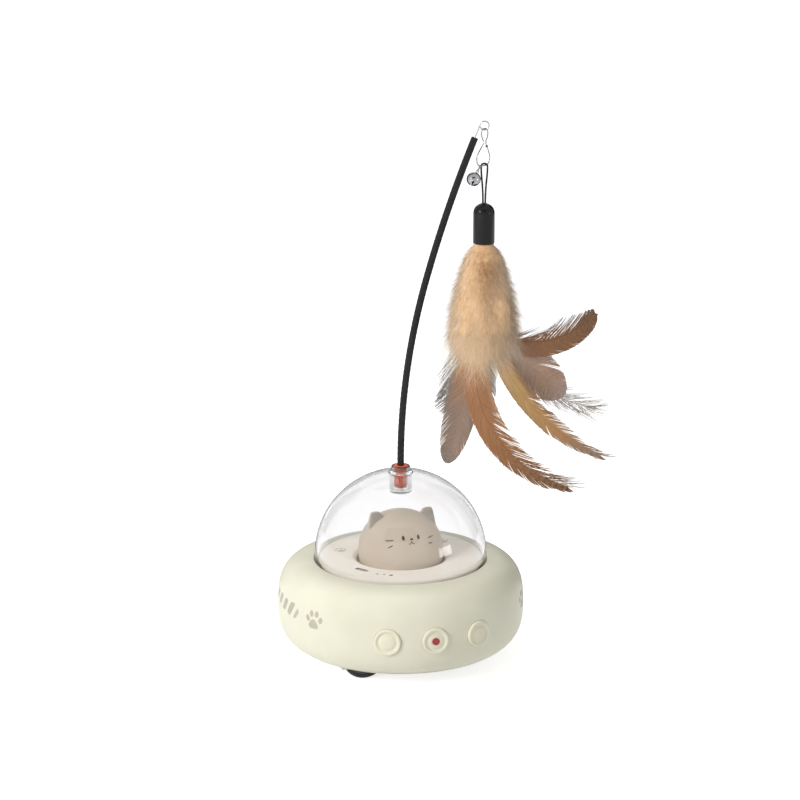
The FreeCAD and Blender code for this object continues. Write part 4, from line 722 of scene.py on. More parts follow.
def deck_outline():
    """Section of the deck: underside, clamped flange, rounded rim, top and the well."""
    return [(0, 37.0), (22.7, 37.0), (22.7, 40.1), (24.6, 42.0), (36.3, 42.0), (36.3, 37.6),
            (CLAMP_RADIUS, 37.6), (CLAMP_RADIUS, CLAMP_FOOT), (DECK_RADIUS, CLAMP_FOOT),
            (DECK_RADIUS, 43.6),
            (DECK_RADIUS - 0.12, 43.88), (DECK_RADIUS - 0.4, DECK_TOP), (30.0, DECK_TOP),
            (WELL_RADIUS + 2.2, DECK_TOP), (WELL_RADIUS + 1.7, 43.85), (WELL_RADIUS + 0.3, 42.75),
            (WELL_RADIUS, 42.3), (WELL_RADIUS, WELL_FLOOR + 0.4), (WELL_RADIUS - 0.4, WELL_FLOOR),
            (0, WELL_FLOOR)]


def on_deck(across, forth):
    """Point of the deck's top and the way up from it."""
    return Vector((across, forth, DECK_TOP)), Vector((0, 0, 1))


def deck_spot(bearing, radius):
    """Place on the deck at a bearing from the front."""
    angle = math.radians(bearing - 90)
    return radius * math.cos(angle), radius * math.sin(angle)


deck = shown("deck", turned(deck_outline(), 128, closed=False), 32)
slot_mesh = block(SLOT_LONG, SLOT_WIDE, 2 * RECESS_DEPTH)
rounded(slot_mesh, running(slot_mesh, 2), 1.1, 6)
swing(slot_mesh, math.radians(SLOT_BEARING), "Z")
shift(slot_mesh, *deck_spot(SLOT_BEARING, 28.0), DECK_TOP)
knives = [shown("cutter", slot_mesh)]
for bearing, radius, bore in ((-38.4, 29.8, 0.7), (-32.2, 29.6, 0.65), (-25.8, 30.0, 0.95)):
    spot = Matrix.Translation((*deck_spot(bearing, radius), 0))
    knives.append(stub(bore, DECK_TOP - RECESS_DEPTH, DECK_TOP + 2, spot, 24))
pierced(deck, knives, 32)
# Painted shade: a darker grey laid on the walls and floors of the slot and the dots, for the shade
# inside these shallow recesses.
painted_recess_shade = moulded("deck_painted_recess_shade", (150, 143, 133), (138, 131, 122), rough=(0.6, 0.8),
                 cloud=70.0, grain=2200.0, dent=0.00002)
deck_cream = moulded("deck_cream", (248, 240, 226), (241, 233, 218), rough=(0.4, 0.55),
                     cloud=80.0, grain=2400.0, dent=0.00003)
belongs(deck, deck_cream, "base", "shell_cream", "deck_plate")
deck.data.materials.append(painted_recess_shade)
# Faces sunk just below the deck's top, outside the well, take the painted shade.
for facet in deck.data.polygons:
    reach = facet.center.xy.length * 1000
    sunk = DECK_TOP - facet.center.z * 1000
    if WELL_RADIUS + 2.5 < reach < DECK_RADIUS - 1 and 0.05 < sunk < 0.7:
        facet.material_index = 1

deck_marks = bmesh.new()
for bearing in (-121.9, 119.3):
    across, forth = deck_spot(bearing, 29.2)
    stamped(deck_marks, (across, forth - 1.4), pad(1.7, 1.5), on_deck)
    for step_across, step_forth in ((-2.4, 0.9), (-0.9, 2.6), (0.9, 2.6), (2.4, 0.9)):
        stamped(deck_marks, (across + step_across, forth + step_forth - 0.4), oval(0.6, 0.85), on_deck)
belongs(shown("deck_paws", deck_marks, 60), ink, "base", "shell_cream")


# Cat's head: a hollow taupe moulding screwed down in the well, with two rounded ears blended into
# its crown and a small printed face.
HEAD_RADIUS = 19.8
HEAD_FOOT = 18.8
HEAD_WIDEST = 46.5
HEAD_TOP = 65.8
HEAD_FULLNESS = 2.15
EAR_OUT = 12.9
EAR_TIP = 66.6


def head_radius(height):
    """Radius of the head's outline at a height over its widest ring."""
    share = max(0.0, min(1.0, (height - HEAD_WIDEST) / (HEAD_TOP - HEAD_WIDEST)))
    return HEAD_RADIUS * (1 - share ** HEAD_FULLNESS) ** (1 / HEAD_FULLNESS)


def head_outline():
    """Section of the head from its foot over the widest ring to the crown."""
    rows = [(0, WELL_FLOOR), (HEAD_FOOT - 0.4, WELL_FLOOR), (HEAD_FOOT, WELL_FLOOR + 0.3)]
    for i in range(1, 8):
        share = i / 8
        bow = HEAD_FOOT + (HEAD_RADIUS - HEAD_FOOT) * math.sin(share * math.pi / 2)
        rows.append((bow, WELL_FLOOR + (HEAD_WIDEST - WELL_FLOOR) * share))
    for i in range(33):
        t = math.pi / 2 * i / 32
        rows.append((HEAD_RADIUS * math.cos(t) ** (2 / HEAD_FULLNESS),
                     HEAD_WIDEST + (HEAD_TOP - HEAD_WIDEST) * math.sin(t) ** (2 / HEAD_FULLNESS)))
    return rows


def cat_ear(side):
    """Rounded ear: a plump wedge that is wide at the root and small at the tip."""
    mesh = block(1, 1, 1)
    for vert in mesh.verts:
        outer, front = vert.co.x > 0, vert.co.y < 0
        if vert.co.z > 0:
            spot = (EAR_OUT + (2.0 if outer else -2.3), -2.5 if front else 0.1, EAR_TIP)
        else:
            spot = (EAR_OUT + (4.4 if outer else -9.9), -4.0 if front else 2.6, EAR_TIP - 13.0)
        vert.co = Vector((spot[0] * side, spot[1], spot[2]))
    bmesh.ops.recalc_face_normals(mesh, faces=mesh.faces)
    rounded(mesh, mesh.edges[:], 1.15, 4)
    return shown("ear", mesh)


def melted(piece, others, voxel, rounds, sharp=80.0):
    """Join other objects to a piece as one even skin, with its inner corners softened."""
    mesh = bmesh.new()
    for each in [piece] + others:
        mesh.from_mesh(each.data)
        if each is not piece:
            bpy.data.objects.remove(each)
    mesh.to_mesh(piece.data)
    mesh.free()
    skin = piece.modifiers.new("skin", "REMESH")
    skin.mode = "VOXEL"
    skin.voxel_size = voxel
    soft = piece.modifiers.new("soft", "SMOOTH")
    soft.iterations = rounds
    soft.factor = 0.5
    return settled(piece, sharp)


head_taupe = moulded("head_taupe", (201, 188, 169), (190, 175, 157), rough=(0.42, 0.55),
                     cloud=38.0, grain=2200.0, dent=0.00004)
head = melted(shown("cat_head_moulding", turned(head_outline(), 128, closed=False)),
              [cat_ear(-1), cat_ear(1)], 0.0004, 6)
belongs(head, head_taupe, "base", "cat_taupe", "cat_head")


def on_head(across, height):
    """Point of the head's front at a place across and a height, and the way out of it."""
    start = Vector((across, -60, height)) * 0.001
    spot, out, _, _ = head_skin.ray_cast(start, Vector((0, 1, 0)))
    return spot * 1000, out


head_skin_mesh = copied(head.data)
head_skin = BVHTree.FromBMesh(head_skin_mesh)
head_skin_mesh.free()

face = bmesh.new()
for across in (-3.89, 3.29):
    stamped(face, (across, 57.42), oval(0.66, 1.0), on_head, rings=3, segments=20)
stamped(face, (-0.14, 56.84), oval(0.78, 0.4), on_head, rings=3, segments=20)


def stroke(target, points, width, wrap):
    """Ink line through points, as short overlapping bars that taper at both ends."""
    count = len(points) - 1
    for i in range(count):
        (x0, z0), (x1, z1) = points[i], points[i + 1]
        lean = math.atan2(z1 - z0, x1 - x0)
        reach = math.hypot(x1 - x0, z1 - z0) / 2 + width * 0.5
        stamped(target, ((x0 + x1) / 2, (z0 + z1) / 2), oval(reach, width / 2, lean), wrap,
                rings=2, segments=16)


for way in (-1, 1):
    arc = [(-0.30 + way * x, 56.0 - drop)
           for x, drop in ((0.0, 0.0), (0.22, 0.6), (0.55, 1.0), (0.95, 1.15), (1.35, 1.0))]
    stroke(face, arc, 0.34, on_head)
for line in (((-11.34, 56.02), (-9.9, 56.24), (-8.4, 56.45)),
             ((-10.74, 53.17), (-9.85, 53.7), (-9.0, 54.25)),
             ((8.41, 56.22), (9.75, 56.34), (11.07, 56.45)),
             ((8.27, 54.08), (9.3, 53.88), (10.29, 53.68))):
    stroke(face, line, 0.46, on_head)
face_ink = moulded("face_ink", (50, 38, 34), (38, 30, 28), rough=(0.35, 0.5),
                   cloud=200.0, grain=3000.0, dent=0.00002)
belongs(shown("printed_face", face, 60), face_ink, "base", "cat_taupe")

# The ears' front faces take a darker grey-green tone than the head, as a thin skin over the moulding.
ear_fronts = copied(head.data)
resize(ear_fronts, 1000, 1000, 1000)
ear_fronts.normal_update()
plain = []
for facet in ear_fronts.faces:
    spot = facet.calc_center_median()
    inside = spot.xy.length < head_radius(spot.z) + 0.5 and spot.z < HEAD_TOP - 0.6
    if inside or facet.normal.y > -0.45 or spot.z < HEAD_WIDEST:
        plain.append(facet)
bmesh.ops.delete(ear_fronts, geom=plain, context="FACES")
for vert in ear_fronts.verts:
    vert.co += vert.normal * INK_THICK
ear_front_tone = moulded("ear_front_tone", (156, 150, 136), (146, 140, 127), rough=(0.45, 0.6),
                  cloud=120.0, grain=2600.0, dent=0.00002)
belongs(shown("ear_fronts", ear_fronts, 60), ear_front_tone, "base", "cat_taupe")


# Buttons: three round cream keys with a rolled rim, a dished ring and a raised middle. Each slides
# in its hole on a hidden flange; the middle one carries a red light pipe.
BUTTON_PROUD = 0.9
BUTTON_INSIDE = -5.7


def key_outline(hole):
    """Section of a key from the middle of its face to the middle of its back."""
    face = [(3.0, BUTTON_PROUD - 0.1), (3.35, BUTTON_PROUD - 0.28), (3.7, BUTTON_PROUD - 0.52),
            (3.95, BUTTON_PROUD - 0.6), (4.35, BUTTON_PROUD - 0.6), (4.65, BUTTON_PROUD - 0.5),
            (4.95, BUTTON_PROUD - 0.15), (5.15, BUTTON_PROUD - 0.03), (5.4, BUTTON_PROUD),
            (5.75, BUTTON_PROUD - 0.04), (6.05, BUTTON_PROUD - 0.2),
            (BUTTON_RADIUS, BUTTON_PROUD - 0.5)]
    back = [(BUTTON_RADIUS, BUTTON_INSIDE + 1.2), (7.2, BUTTON_INSIDE + 1.2), (7.2, BUTTON_INSIDE)]
    if hole:
        return [(hole, BUTTON_INSIDE), (hole, BUTTON_PROUD - 0.12), (hole + 0.15, BUTTON_PROUD - 0.02),
                (2.4, BUTTON_PROUD - 0.02)] + face + back
    return [(0, BUTTON_PROUD), (1.6, BUTTON_PROUD - 0.01)] + face + back + [(0, BUTTON_INSIDE)]


button_cream = moulded("button_cream", (233, 229, 206), (225, 221, 197), rough=(0.3, 0.4),
                       cloud=70.0, grain=2200.0, dent=0.00003)
for side, turn in zip(("left", "middle", "right"), BUTTON_TURNS):
    key = turned(key_outline(1.7 if side == "middle" else 0), 72, closed=side == "middle")
    carry(key, button_place(turn))
    belongs(shown(side + "_key", key, 50), button_cream, side + "_button_cap", "button_cream",
            side + "_button")

pipe = turned([(0, BUTTON_INSIDE), (1.68, BUTTON_INSIDE), (1.68, 0.95), (1.6, 1.08), (1.35, 1.19),
               (0.9, 1.24), (0.45, 1.25), (0, 1.25)], 48, closed=False)
carry(pipe, button_place(BUTTON_TURNS[1]))
lens_red = moulded("light_pipe_red", (176, 12, 36), (152, 6, 28), rough=(0.08, 0.16),
                   cloud=300.0, grain=1500.0, dent=0.00001, Coat_Weight=0.15)
belongs(shown("light_pipe", pipe, 50), lens_red, "middle_button_cap", "lens_red", "led_lens")


# Socket ring and wand plug: a smoke-clear collar turned to fit round the wand's foot, and a soft
# orange rubber plug that is moulded on the rod and pushes down into the dome's socket.
RING_TOP = 87.7
PLUG_RADIUS = 3.0
GROOVE_RADIUS = 2.86
collar = turned([(SOCKET_BORE, DOME_RIM), (4.2, DOME_RIM), (4.35, 85.35), (4.35, 87.2),
                 (4.28, 87.45), (4.1, 87.62), (3.85, RING_TOP), (3.55, RING_TOP), (3.55, 86.95),
                 (SOCKET_BORE, 86.95)], 64)
smoke = clear_plastic("smoke_clear_ring", (0.55, 0.52, 0.48, 1), (0.6, 0.58, 0.55, 1), (0.04, 0.12))
belongs(shown("socket_ring", collar, 40), smoke, "collar", "smoke_clear", "socket_collar")

plug_rows = [(0, 77.0), (1.1, 77.06), (1.9, 77.4), (2.55, 78.1), (2.9, 78.95), (PLUG_RADIUS, 79.8)]
for groove, end in ((81.0, 81.65), (83.2, 83.85)):
    plug_rows += [(PLUG_RADIUS, groove), (GROOVE_RADIUS, groove + 0.15), (GROOVE_RADIUS, end - 0.15),
                  (PLUG_RADIUS, end)]
plug_rows += [(PLUG_RADIUS, 87.0), (3.4, 87.0), (3.5, 87.1), (3.5, 87.55), (3.38, RING_TOP),
              (1.6, RING_TOP), (1.6, 81.7), (0, 81.7)]
orange = moulded("orange_rubber", (246, 112, 78), (226, 92, 62), rough=(0.45, 0.6),
                 cloud=160.0, grain=2400.0, dent=0.00004, Subsurface_Weight=0.1,
                 Subsurface_Scale=0.002)
belongs(shown("rubber_plug", turned(plug_rows, 56, closed=False), 40), orange, "wand", "plug_orange",
        "wand_plug")


# Wand: a springy rod in a black braided sleeve. It rises straight out of the plug, then leans over
# in two long bends and is cut square at the tip.
ROD_RADIUS = 1.6
ROD_FOOT = 81.7
ROD_STRAIGHT = 89.0
BENDS = ((330.0, 15.2, 300), (620.0, 6.4, 280))
BRAID_PITCH = 5.2
BRAID_STRANDS = 7
BRAID_DEPTH = 0.07


def beside(heading):
    """Way to the right of the rod where it leans over by a heading."""
    return Vector((math.cos(heading), 0, -math.sin(heading)))


def rod_mesh():
    """Ring of the sleeve carried up the straight foot and round both bends."""
    mesh = bmesh.new()
    ring = bmesh.ops.create_circle(mesh, cap_ends=False, segments=36, radius=ROD_RADIUS)["verts"]
    bmesh.ops.translate(mesh, verts=ring, vec=(0, 0, ROD_FOOT))
    edges = list(mesh.edges)
    for _ in range(30):
        grown = bmesh.ops.extrude_edge_only(mesh, edges=edges)["geom"]
        ring = [g for g in grown if isinstance(g, bmesh.types.BMVert)]
        edges = [g for g in grown if isinstance(g, bmesh.types.BMEdge)]
        bmesh.ops.translate(mesh, verts=ring, vec=(0, 0, (ROD_STRAIGHT - ROD_FOOT) / 30))
    heading = 0.0
    place = Vector((0, 0, ROD_STRAIGHT))
    for radius, angle, steps in BENDS:
        centre = place + beside(heading) * radius
        turned_to = bmesh.ops.spin(mesh, geom=edges, cent=centre, axis=(0, 1, 0),
                                   angle=math.radians(angle), steps=steps, use_merge=False,
                                   use_duplicate=False)["geom_last"]
        edges = [g for g in turned_to if isinstance(g, bmesh.types.BMEdge)]
        heading += math.radians(angle)
        place = centre - beside(heading) * radius
    bmesh.ops.remove_doubles(mesh, verts=mesh.verts, dist=0.0005)
    return mesh, place, heading


def along_rod(spot):
    """Distance up the rod's middle line and angle round it, for a point on its surface."""
    if spot.z <= ROD_STRAIGHT:
        return spot.z - ROD_FOOT, math.atan2(spot.y, spot.x), Vector((0, 0, spot.z))
    heading = 0.0
    length = ROD_STRAIGHT - ROD_FOOT
    place = Vector((0, 0, ROD_STRAIGHT))
    for radius, angle, steps in BENDS:
        centre = place + beside(heading) * radius
        offset = spot - centre
        turn = math.atan2(offset.z, -offset.x) - heading
        full = math.radians(angle)
        if turn <= full + 0.0001 or radius == BENDS[-1][0]:
            total = heading + turn
            out = beside(total)
            middle = centre - out * radius
            around = math.atan2(spot.y, (spot - middle).dot(out))
            return length + radius * turn, around, middle
        heading += full
        length += radius * full
        place = centre - beside(heading) * radius


rod, rod_tip, rod_heading = rod_mesh()
braid_map = rod.loops.layers.uv.new("UVMap")
for vert in rod.verts:
    length, around, middle = along_rod(vert.co)
    lift = max(math.cos(BRAID_STRANDS * around + hand * 2 * math.pi * length / BRAID_PITCH * 2)
               for hand in (1, -1))
    vert.co = middle + (vert.co - middle).normalized() * (ROD_RADIUS - BRAID_DEPTH + BRAID_DEPTH * lift)
for loop_face in rod.faces:
    first = None
    for loop in loop_face.loops:
        length, around, middle = along_rod(loop.vert.co)
        share = around / (2 * math.pi) % 1.0
        if first is None:
            first = share
        if share - first > 0.5:
            share -= 1
        if first - share > 0.5:
            share += 1
        loop[braid_map].uv = (share, length / BRAID_PITCH)
ends = [e for e in rod.edges if e.is_boundary]
bmesh.ops.holes_fill(rod, edges=ends, sides=40)
swing(rod, LEAN, "Z")
bmesh.ops.recalc_face_normals(rod, faces=rod.faces)
sleeve_black = braided("braided_sleeve", (40, 38, 38), (8, 8, 9), 14.0, 2.0, 0.0001)
belongs(shown("sleeved_rod", rod, 40), sleeve_black, "wand", "rod_black", "wand_rod")


# Tip eye: the bright end of the rod's steel core, curled round into an eye for the clasp.
CORE_WIRE = 0.6
EYE_RADIUS = 2.0
EYE_TURN = 318.0


def tip_point(along, out):
    """Point beyond the rod's tip: along the rod's own direction and out to its right."""
    way = Vector((math.sin(rod_heading), 0, math.cos(rod_heading)))
    right = Vector((way.z, 0, -way.x))
    spot = rod_tip + way * along + right * out
    return leaned(spot.x, spot.y, spot.z)


def hook(centre_along, centre_out, radius, start, sweep, count):
    """Points round part of a circle in the wand's plane, for a wire's control points."""
    points = []
    for i in range(count + 1):
        a = math.radians(start + sweep * i / count)
        points.append(tip_point(centre_along + radius * math.sin(a), centre_out - radius * math.cos(a)))
    return points


steel = moulded("bright_steel", (176, 176, 178), (146, 146, 150), rough=(0.14, 0.26),
                cloud=500.0, grain=4000.0, dent=0.00001, Metallic=1.0)
eye_points = [tip_point(-3.0, 0), tip_point(1.0, 0), tip_point(4.6, 0)]
eye_points += hook(6.8, EYE_RADIUS, EYE_RADIUS * 1.02, 0, EYE_TURN, 14)
eye = wire("tip_eye", eye_points, CORE_WIRE * 0.001, order=4)
belongs(eye, steel, "wand", "steel", "wand_eye")


# Clasp: a snap of plated spring wire bent to a small loop through the eye and a wide loop below,
# pinched between the two, with a short dark sleeve on one strand.
CLASP_WIRE = 0.56
CLASP_TURN = math.radians(38.0)
PINCH = 239.069
CLASP_CORNERS = ((-0.38, 0.35), (-2.1, 3.2), (-1.6, 6.4), (1.6, 6.4), (2.1, 3.2), (0.38, 0.0),
                 (2.2, -3.6), (3.4, -7.4), (2.1, -10.6), (-3.8, -10.6), (-4.7, -7.0),
                 (-3.4, -4.0), (-0.38, -0.35))


def clasp_point(across, rise):
    """Point of the clasp's own upright plane, above or below its pinch."""
    return leaned(HANG + across * math.cos(CLASP_TURN), across * math.sin(CLASP_TURN), PINCH + rise)


plated = moulded("plated_wire", (168, 164, 160), (122, 119, 116), rough=(0.12, 0.22),
                 cloud=450.0, grain=4000.0, dent=0.00001, Metallic=1.0)
clasp = wire("snap_clasp_wire", [clasp_point(*corner) for corner in CLASP_CORNERS], CLASP_WIRE * 0.001)
belongs(clasp, plated, "clasp", "plated", "snap_clasp")

upper, lower = clasp_point(*CLASP_CORNERS[5]), clasp_point(*CLASP_CORNERS[6])
grip_middle = (upper + lower) / 2
grip_half = (lower - upper) * 0.05
grip = turned([(0.29, -1.0), (0.56, -1.0), (0.62, -0.86), (0.62, 0.86), (0.56, 1.0), (0.29, 1.0)], 32)
resize(grip, 1, 1, grip_half.length * 1000)
stand = (upper - lower).to_track_quat("Z", "Y").to_matrix().to_4x4()
carry(grip, Matrix.Translation(grip_middle * 1000) @ stand)
grip_black = moulded("grip_black", (40, 36, 34), (24, 22, 22), rough=(0.35, 0.5),
                     cloud=600.0, grain=3000.0, dent=0.00002)
belongs(shown("clasp_grip", grip, 40), grip_black, "clasp", "sleeve_black", "clasp_sleeve")


# Bell: two pressed cups of chromed brass closed to a ball over a loose pellet, hung by its own
# eye and one jump ring from the clasp's lower wire.
BELL_LEAN = math.radians(26.0)
BELL_RADIUS = 3.25
BELL_WALL = 0.35
LINK_DROP = 0.95
EYE_DROP = 2.63
BELL_DROP = 6.53
BELL_PIVOT = (HANG - 2.5 * math.cos(CLASP_TURN), -2.5 * math.sin(CLASP_TURN), CLASP_FOOT)
bell_hang = (Matrix.Rotation(LEAN, 4, "Z") @ Matrix.Translation(BELL_PIVOT)
             @ Matrix.Rotation(BELL_LEAN, 4, "Y"))


def ring_mesh(radius, thick, drop, facing):
    """Closed wire ring hung at a drop below the pivot; facing is the axis it turns about."""
    section = [(radius - thick * math.sin(2 * math.pi * i / 14), thick * math.cos(2 * math.pi * i / 14))
               for i in range(14)]
    mesh = turned(section, 48)
    swing(mesh, math.pi / 2, "Y" if facing == "X" else "X")
    shift(mesh, 0, 0, -drop)
    carry(mesh, bell_hang)
    return mesh


belongs(shown("jump_ring", ring_mesh(1.5, 0.22, LINK_DROP, "X"), 60), plated, "bell_drop", "plated",
        "bell_link")


def bell_mesh():
    """The ball's wall as two closed skins: outside with its rolled seam, and inside."""
    def skin(count, steps, reach):
        turns = [math.pi * i / count for i in range(count + 1)]
        return turned([(reach(t) * math.sin(t), reach(t) * math.cos(t)) for t in turns], steps,
                      closed=False)
    mesh = skin(32, 64, lambda t: BELL_RADIUS - 0.04
                + 0.07 * math.exp(-((t - math.pi / 2) / 0.05) ** 2))
    inner = skin(24, 48, lambda t: BELL_RADIUS - BELL_WALL)
    bmesh.ops.reverse_faces(inner, faces=inner.faces)
    absorb(mesh, inner)
    return mesh


bell = shown("bell_ball", bell_mesh(), 60)
slit = block(0.8, 6.4, 4.0)
shift(slit, 0, 0, -2.7)
cutters = [shown("cutter", slit)]
for way in (-1, 1):
    turn_out = Matrix.Translation((0, way * 2.75, -0.7)) @ Matrix.Rotation(math.pi / 2, 4, "X")
    cutters.append(stub(0.64, -1.2, 1.2, turn_out, 24))
pierced(bell, cutters, 40)
bell.data.transform(Matrix.Scale(1000, 4))
bell.data.transform(bell_hang @ Matrix.Translation((0, 0, -BELL_DROP)))
bell.data.transform(Matrix.Scale(0.001, 4))
chrome = moulded("chromed_brass", (172, 172, 175), (150, 150, 154), rough=(0.06, 0.14),
                 cloud=350.0, grain=2500.0, dent=0.00001, Metallic=1.0)
belongs(bell, chrome, "bell_drop", "plated", "bell")
belongs(shown("bell_eye", ring_mesh(0.65, 0.2, EYE_DROP, "Y"), 60), chrome, "bell_drop", "plated")


# Cap: a glossy black bullet of moulded plastic that hides the knotted elastic and the quills. It
# is filled from below with set resin.
CAP_RADIUS = 4.87


def cap_rows():
    """Section of the cap: bullet nose, straight side, rolled mouth and bore."""
    shoulder = CAP_TOP - 4.6
    rows = [(1.1, CAP_TOP - 4.0), (1.1, CAP_TOP - 0.35), (1.25, CAP_TOP - 0.12)]
    for i in range(25):
        t = 1 - i / 24
        poles = ((CAP_RADIUS, shoulder), (CAP_RADIUS, shoulder + 4.6 * 0.62),
                 (CAP_RADIUS * 0.5, CAP_TOP), (0, CAP_TOP))
        weights = ((1 - t) ** 3, 3 * t * (1 - t) ** 2, 3 * t * t * (1 - t), t ** 3)
        radius = sum(w * p[0] for w, p in zip(weights, poles))
        height = sum(w * p[1] for w, p in zip(weights, poles))
        if radius > 1.5:
            rows.append((radius, height))
    rows += [(CAP_RADIUS, CAP_FOOT + 0.35), (CAP_RADIUS - 0.1, CAP_FOOT + 0.1),
             (CAP_RADIUS - 0.35, CAP_FOOT), (CAP_RADIUS - 0.8, CAP_FOOT),
             (CAP_RADIUS - 0.95, CAP_FOOT + 0.2), (CAP_RADIUS - 0.95, CAP_FOOT + 13.2),
             (1.1, CAP_FOOT + 13.2)]
    return rows


hang_place = Matrix.Rotation(LEAN, 4, "Z") @ Matrix.Translation((HANG, 0, 0))
cap = turned(cap_rows(), 96)
carry(cap, hang_place)
gloss_black = moulded("gloss_black", (16, 15, 17), (9, 9, 10), rough=(0.12, 0.2),
                      cloud=220.0, grain=1600.0, dent=0.00001, Specular_IOR_Level=0.2)
belongs(shown("bullet_cap", cap, 40), gloss_black, "refill", "cap_black", "feather_cap")


# Plume: a puff of soft tan down tied under the cap. A felted core carries about 25 000 loose
# strands that hang and curl outwards, darker over the quills in the middle.
PLUME_LENGTH = 54.8
PLUME_SIDE = ((0.0, 4.6), (0.06, 7.0), (0.14, 9.2), (0.28, 11.2), (0.42, 12.9), (0.6, 15.0),
              (0.76, 14.8), (0.9, 10.8), (1.0, 5.4))
CORE_SHARE = 0.94
DOWN_STRANDS = 9000
DOWN_WIDTH = 0.17
FUZZ_WIDTH = 0.09


def plume_radius(share):
    """Radius of the plume's core at a share of its length below the cap."""
    for (low, near), (high, far) in zip(PLUME_SIDE, PLUME_SIDE[1:]):
        if share <= high:
            blend = (share - low) / (high - low)
            return near + (far - near) * (3 * blend ** 2 - 2 * blend ** 3)
    return PLUME_SIDE[-1][1]


def plume_core():
    """Core of the plume, lumpy as felted down is."""
    rows = [(0, CAP_FOOT)]
    rows += [(plume_radius(i / 40), CAP_FOOT - PLUME_LENGTH * CORE_SHARE * i / 40) for i in range(41)]
    rows.append((0, CAP_FOOT - PLUME_LENGTH * 0.95))
    mesh = turned(rows, 72, closed=False)
    for vert in mesh.verts:
        lump = noise.noise(Vector((vert.co.x * 0.16, vert.co.y * 0.16, vert.co.z * 0.06)))
        fine = noise.noise(vert.co * 0.9)
        away = 1 - 0.09 + 0.16 * lump + 0.05 * fine
        if vert.co.z < CAP_FOOT - 0.5:
            vert.co.x *= away
            vert.co.y *= away
    return mesh


def ribbon(curve, points, tilt, taper, lateness=1.0, breadth=1.0):
    """Add one ribbon through points. It narrows by the taper's share, sooner or later."""
    spline = curve.splines.new("POLY")
    spline.points.add(len(points) - 1)
    for i, place in enumerate(points):
        spline.points[i].co = (*place, 1)
        spline.points[i].radius = breadth * (1 - taper * (i / (len(points) - 1)) ** lateness)
        spline.points[i].tilt = tilt


def as_mesh(curve):
    """Mesh of a curve, as the curve would be drawn."""
    holder = placed("holder", curve)
    data = as_drawn(holder)
    bpy.data.objects.remove(holder)
    mesh = copied(data)
    bpy.data.meshes.remove(data)
    return mesh


def strand(curve, chance, share, bearing, lift, length):
    """One strand of down: out of the core, then down and curling."""
    radius = plume_radius(share) * 0.86
    out = Vector((math.cos(bearing), math.sin(bearing), 0))
    place = out * radius + Vector((0, 0, CAP_FOOT - PLUME_LENGTH * 0.96 * share))
    sway = Vector((chance.uniform(-1, 1), chance.uniform(-1, 1), 0)) * 0.5
    way = (out * lift + sway + Vector((0, 0, -1))).normalized()
    curl = Vector((chance.uniform(-1, 1), chance.uniform(-1, 1), chance.uniform(-0.6, 0.3))) * 0.2
    points = [place]
    for _ in range(5):
        way = (way + curl + Vector((0, 0, -0.04))).normalized()
        place = place + way * length / 5
        points.append(place)
    ribbon(curve, points, chance.uniform(0, math.pi), 0.75)


def scatter(curve, chance, count, shares, power, lifts, lengths, short):
    """Strands at random over a span of the plume; near the cap they are shorter, by a share."""
    for _ in range(count):
        share = chance.uniform(*shares) ** power
        strand(curve, chance, share, chance.uniform(0, 2 * math.pi), chance.uniform(*lifts),
               chance.uniform(*lengths) * (1 - short + short * min(1.0, share * 3)))


def softened(mesh):
    """Turn every facet of loose down to the side that faces away from the plume's middle."""
    mesh.normal_update()
    middle = hang_place.translation
    for facet in mesh.faces:
        if facet.normal.xy.dot(facet.verts[0].co.xy - middle.xy) < 0:
            facet.normal_flip()
    return mesh


def puffed(piece, chance):
    """Shade down as one soft puff: each strand takes most of its direction from the plume's side."""
    middle = hang_place.translation * 0.001
    ways = []
    for vert in piece.data.vertices:
        away = Vector((vert.co.x - middle.x, vert.co.y - middle.y, 0)).normalized()
        stray = Vector((chance.gauss(0, 0.55), chance.gauss(-0.15, 0.55), chance.gauss(0.05, 0.55)))
        ways.append((away + stray).normalized())
    piece.data.normals_split_custom_set_from_vertices(ways)
    piece.visible_shadow = False
    return piece


def down_finish(name, tints):
    """Finish of down: streaks along the strands and a darker patch over the quills in front."""
    material, tree, shader, place = blank(name)
    streaks = noise_of(tree, place["Object"], 1100.0, 4.0, (1, 1, 0.4))
    base = ramp_of(tree, streaks, [(at, srgb(*tint)) for at, tint in zip((0.3, 0.52, 0.72), tints)])
    spot = add(tree, "Mapping", vector_type="TEXTURE", Scale=(0.0085, 0.011, 0.024),
               Location=leaned(HANG + 0.5, -8.0, CAP_FOOT - 13.0), Vector=place["Object"])
    glow = add(tree, "TexGradient", gradient_type="SPHERICAL", Vector=spot).node.outputs["Fac"]
    specks = noise_of(tree, place["Object"], 700.0, 5.0)
    share = add(tree, "Math", glow, span_of(tree, specks, 0.3, 1.4), operation="MULTIPLY")
    mix = add(tree, "Mix", data_type="RGBA", Factor=share, A=base, B=srgb(178, 132, 88))
    feed(shader, Base_Color=mix, Roughness=span_of(tree, streaks, 0.75, 0.95),
         Normal=bump_of(tree, streaks, 0.4, 0.0004), Sheen_Weight=0.5, Specular_IOR_Level=0.2)
    return material


def loose(name, curve, finish, chance):
    """Make a plume's ribbons into one piece of soft down."""
    mesh = as_mesh(curve)
    carry(mesh, hang_place)
    belongs(puffed(shown(name, softened(mesh), 180), chance), finish, "refill", "plume_tan")


plume_tan = down_finish("tan_down", ((216, 175, 128), (226, 188, 142), (236, 205, 166)))
core = plume_core()
carry(core, hang_place)
belongs(shown("plume_core", core, 80), plume_tan, "refill", "plume_tan", "feather_plume")

chance = random.Random(11)
down, _ = drawn("down", None, extrude=DOWN_WIDTH / 2)
scatter(down, chance, DOWN_STRANDS, (0.0, 0.97), 0.8, (0.15, 0.55), (4.5, 9.5), 0.45)
loose("plume_down", down, plume_tan, chance)

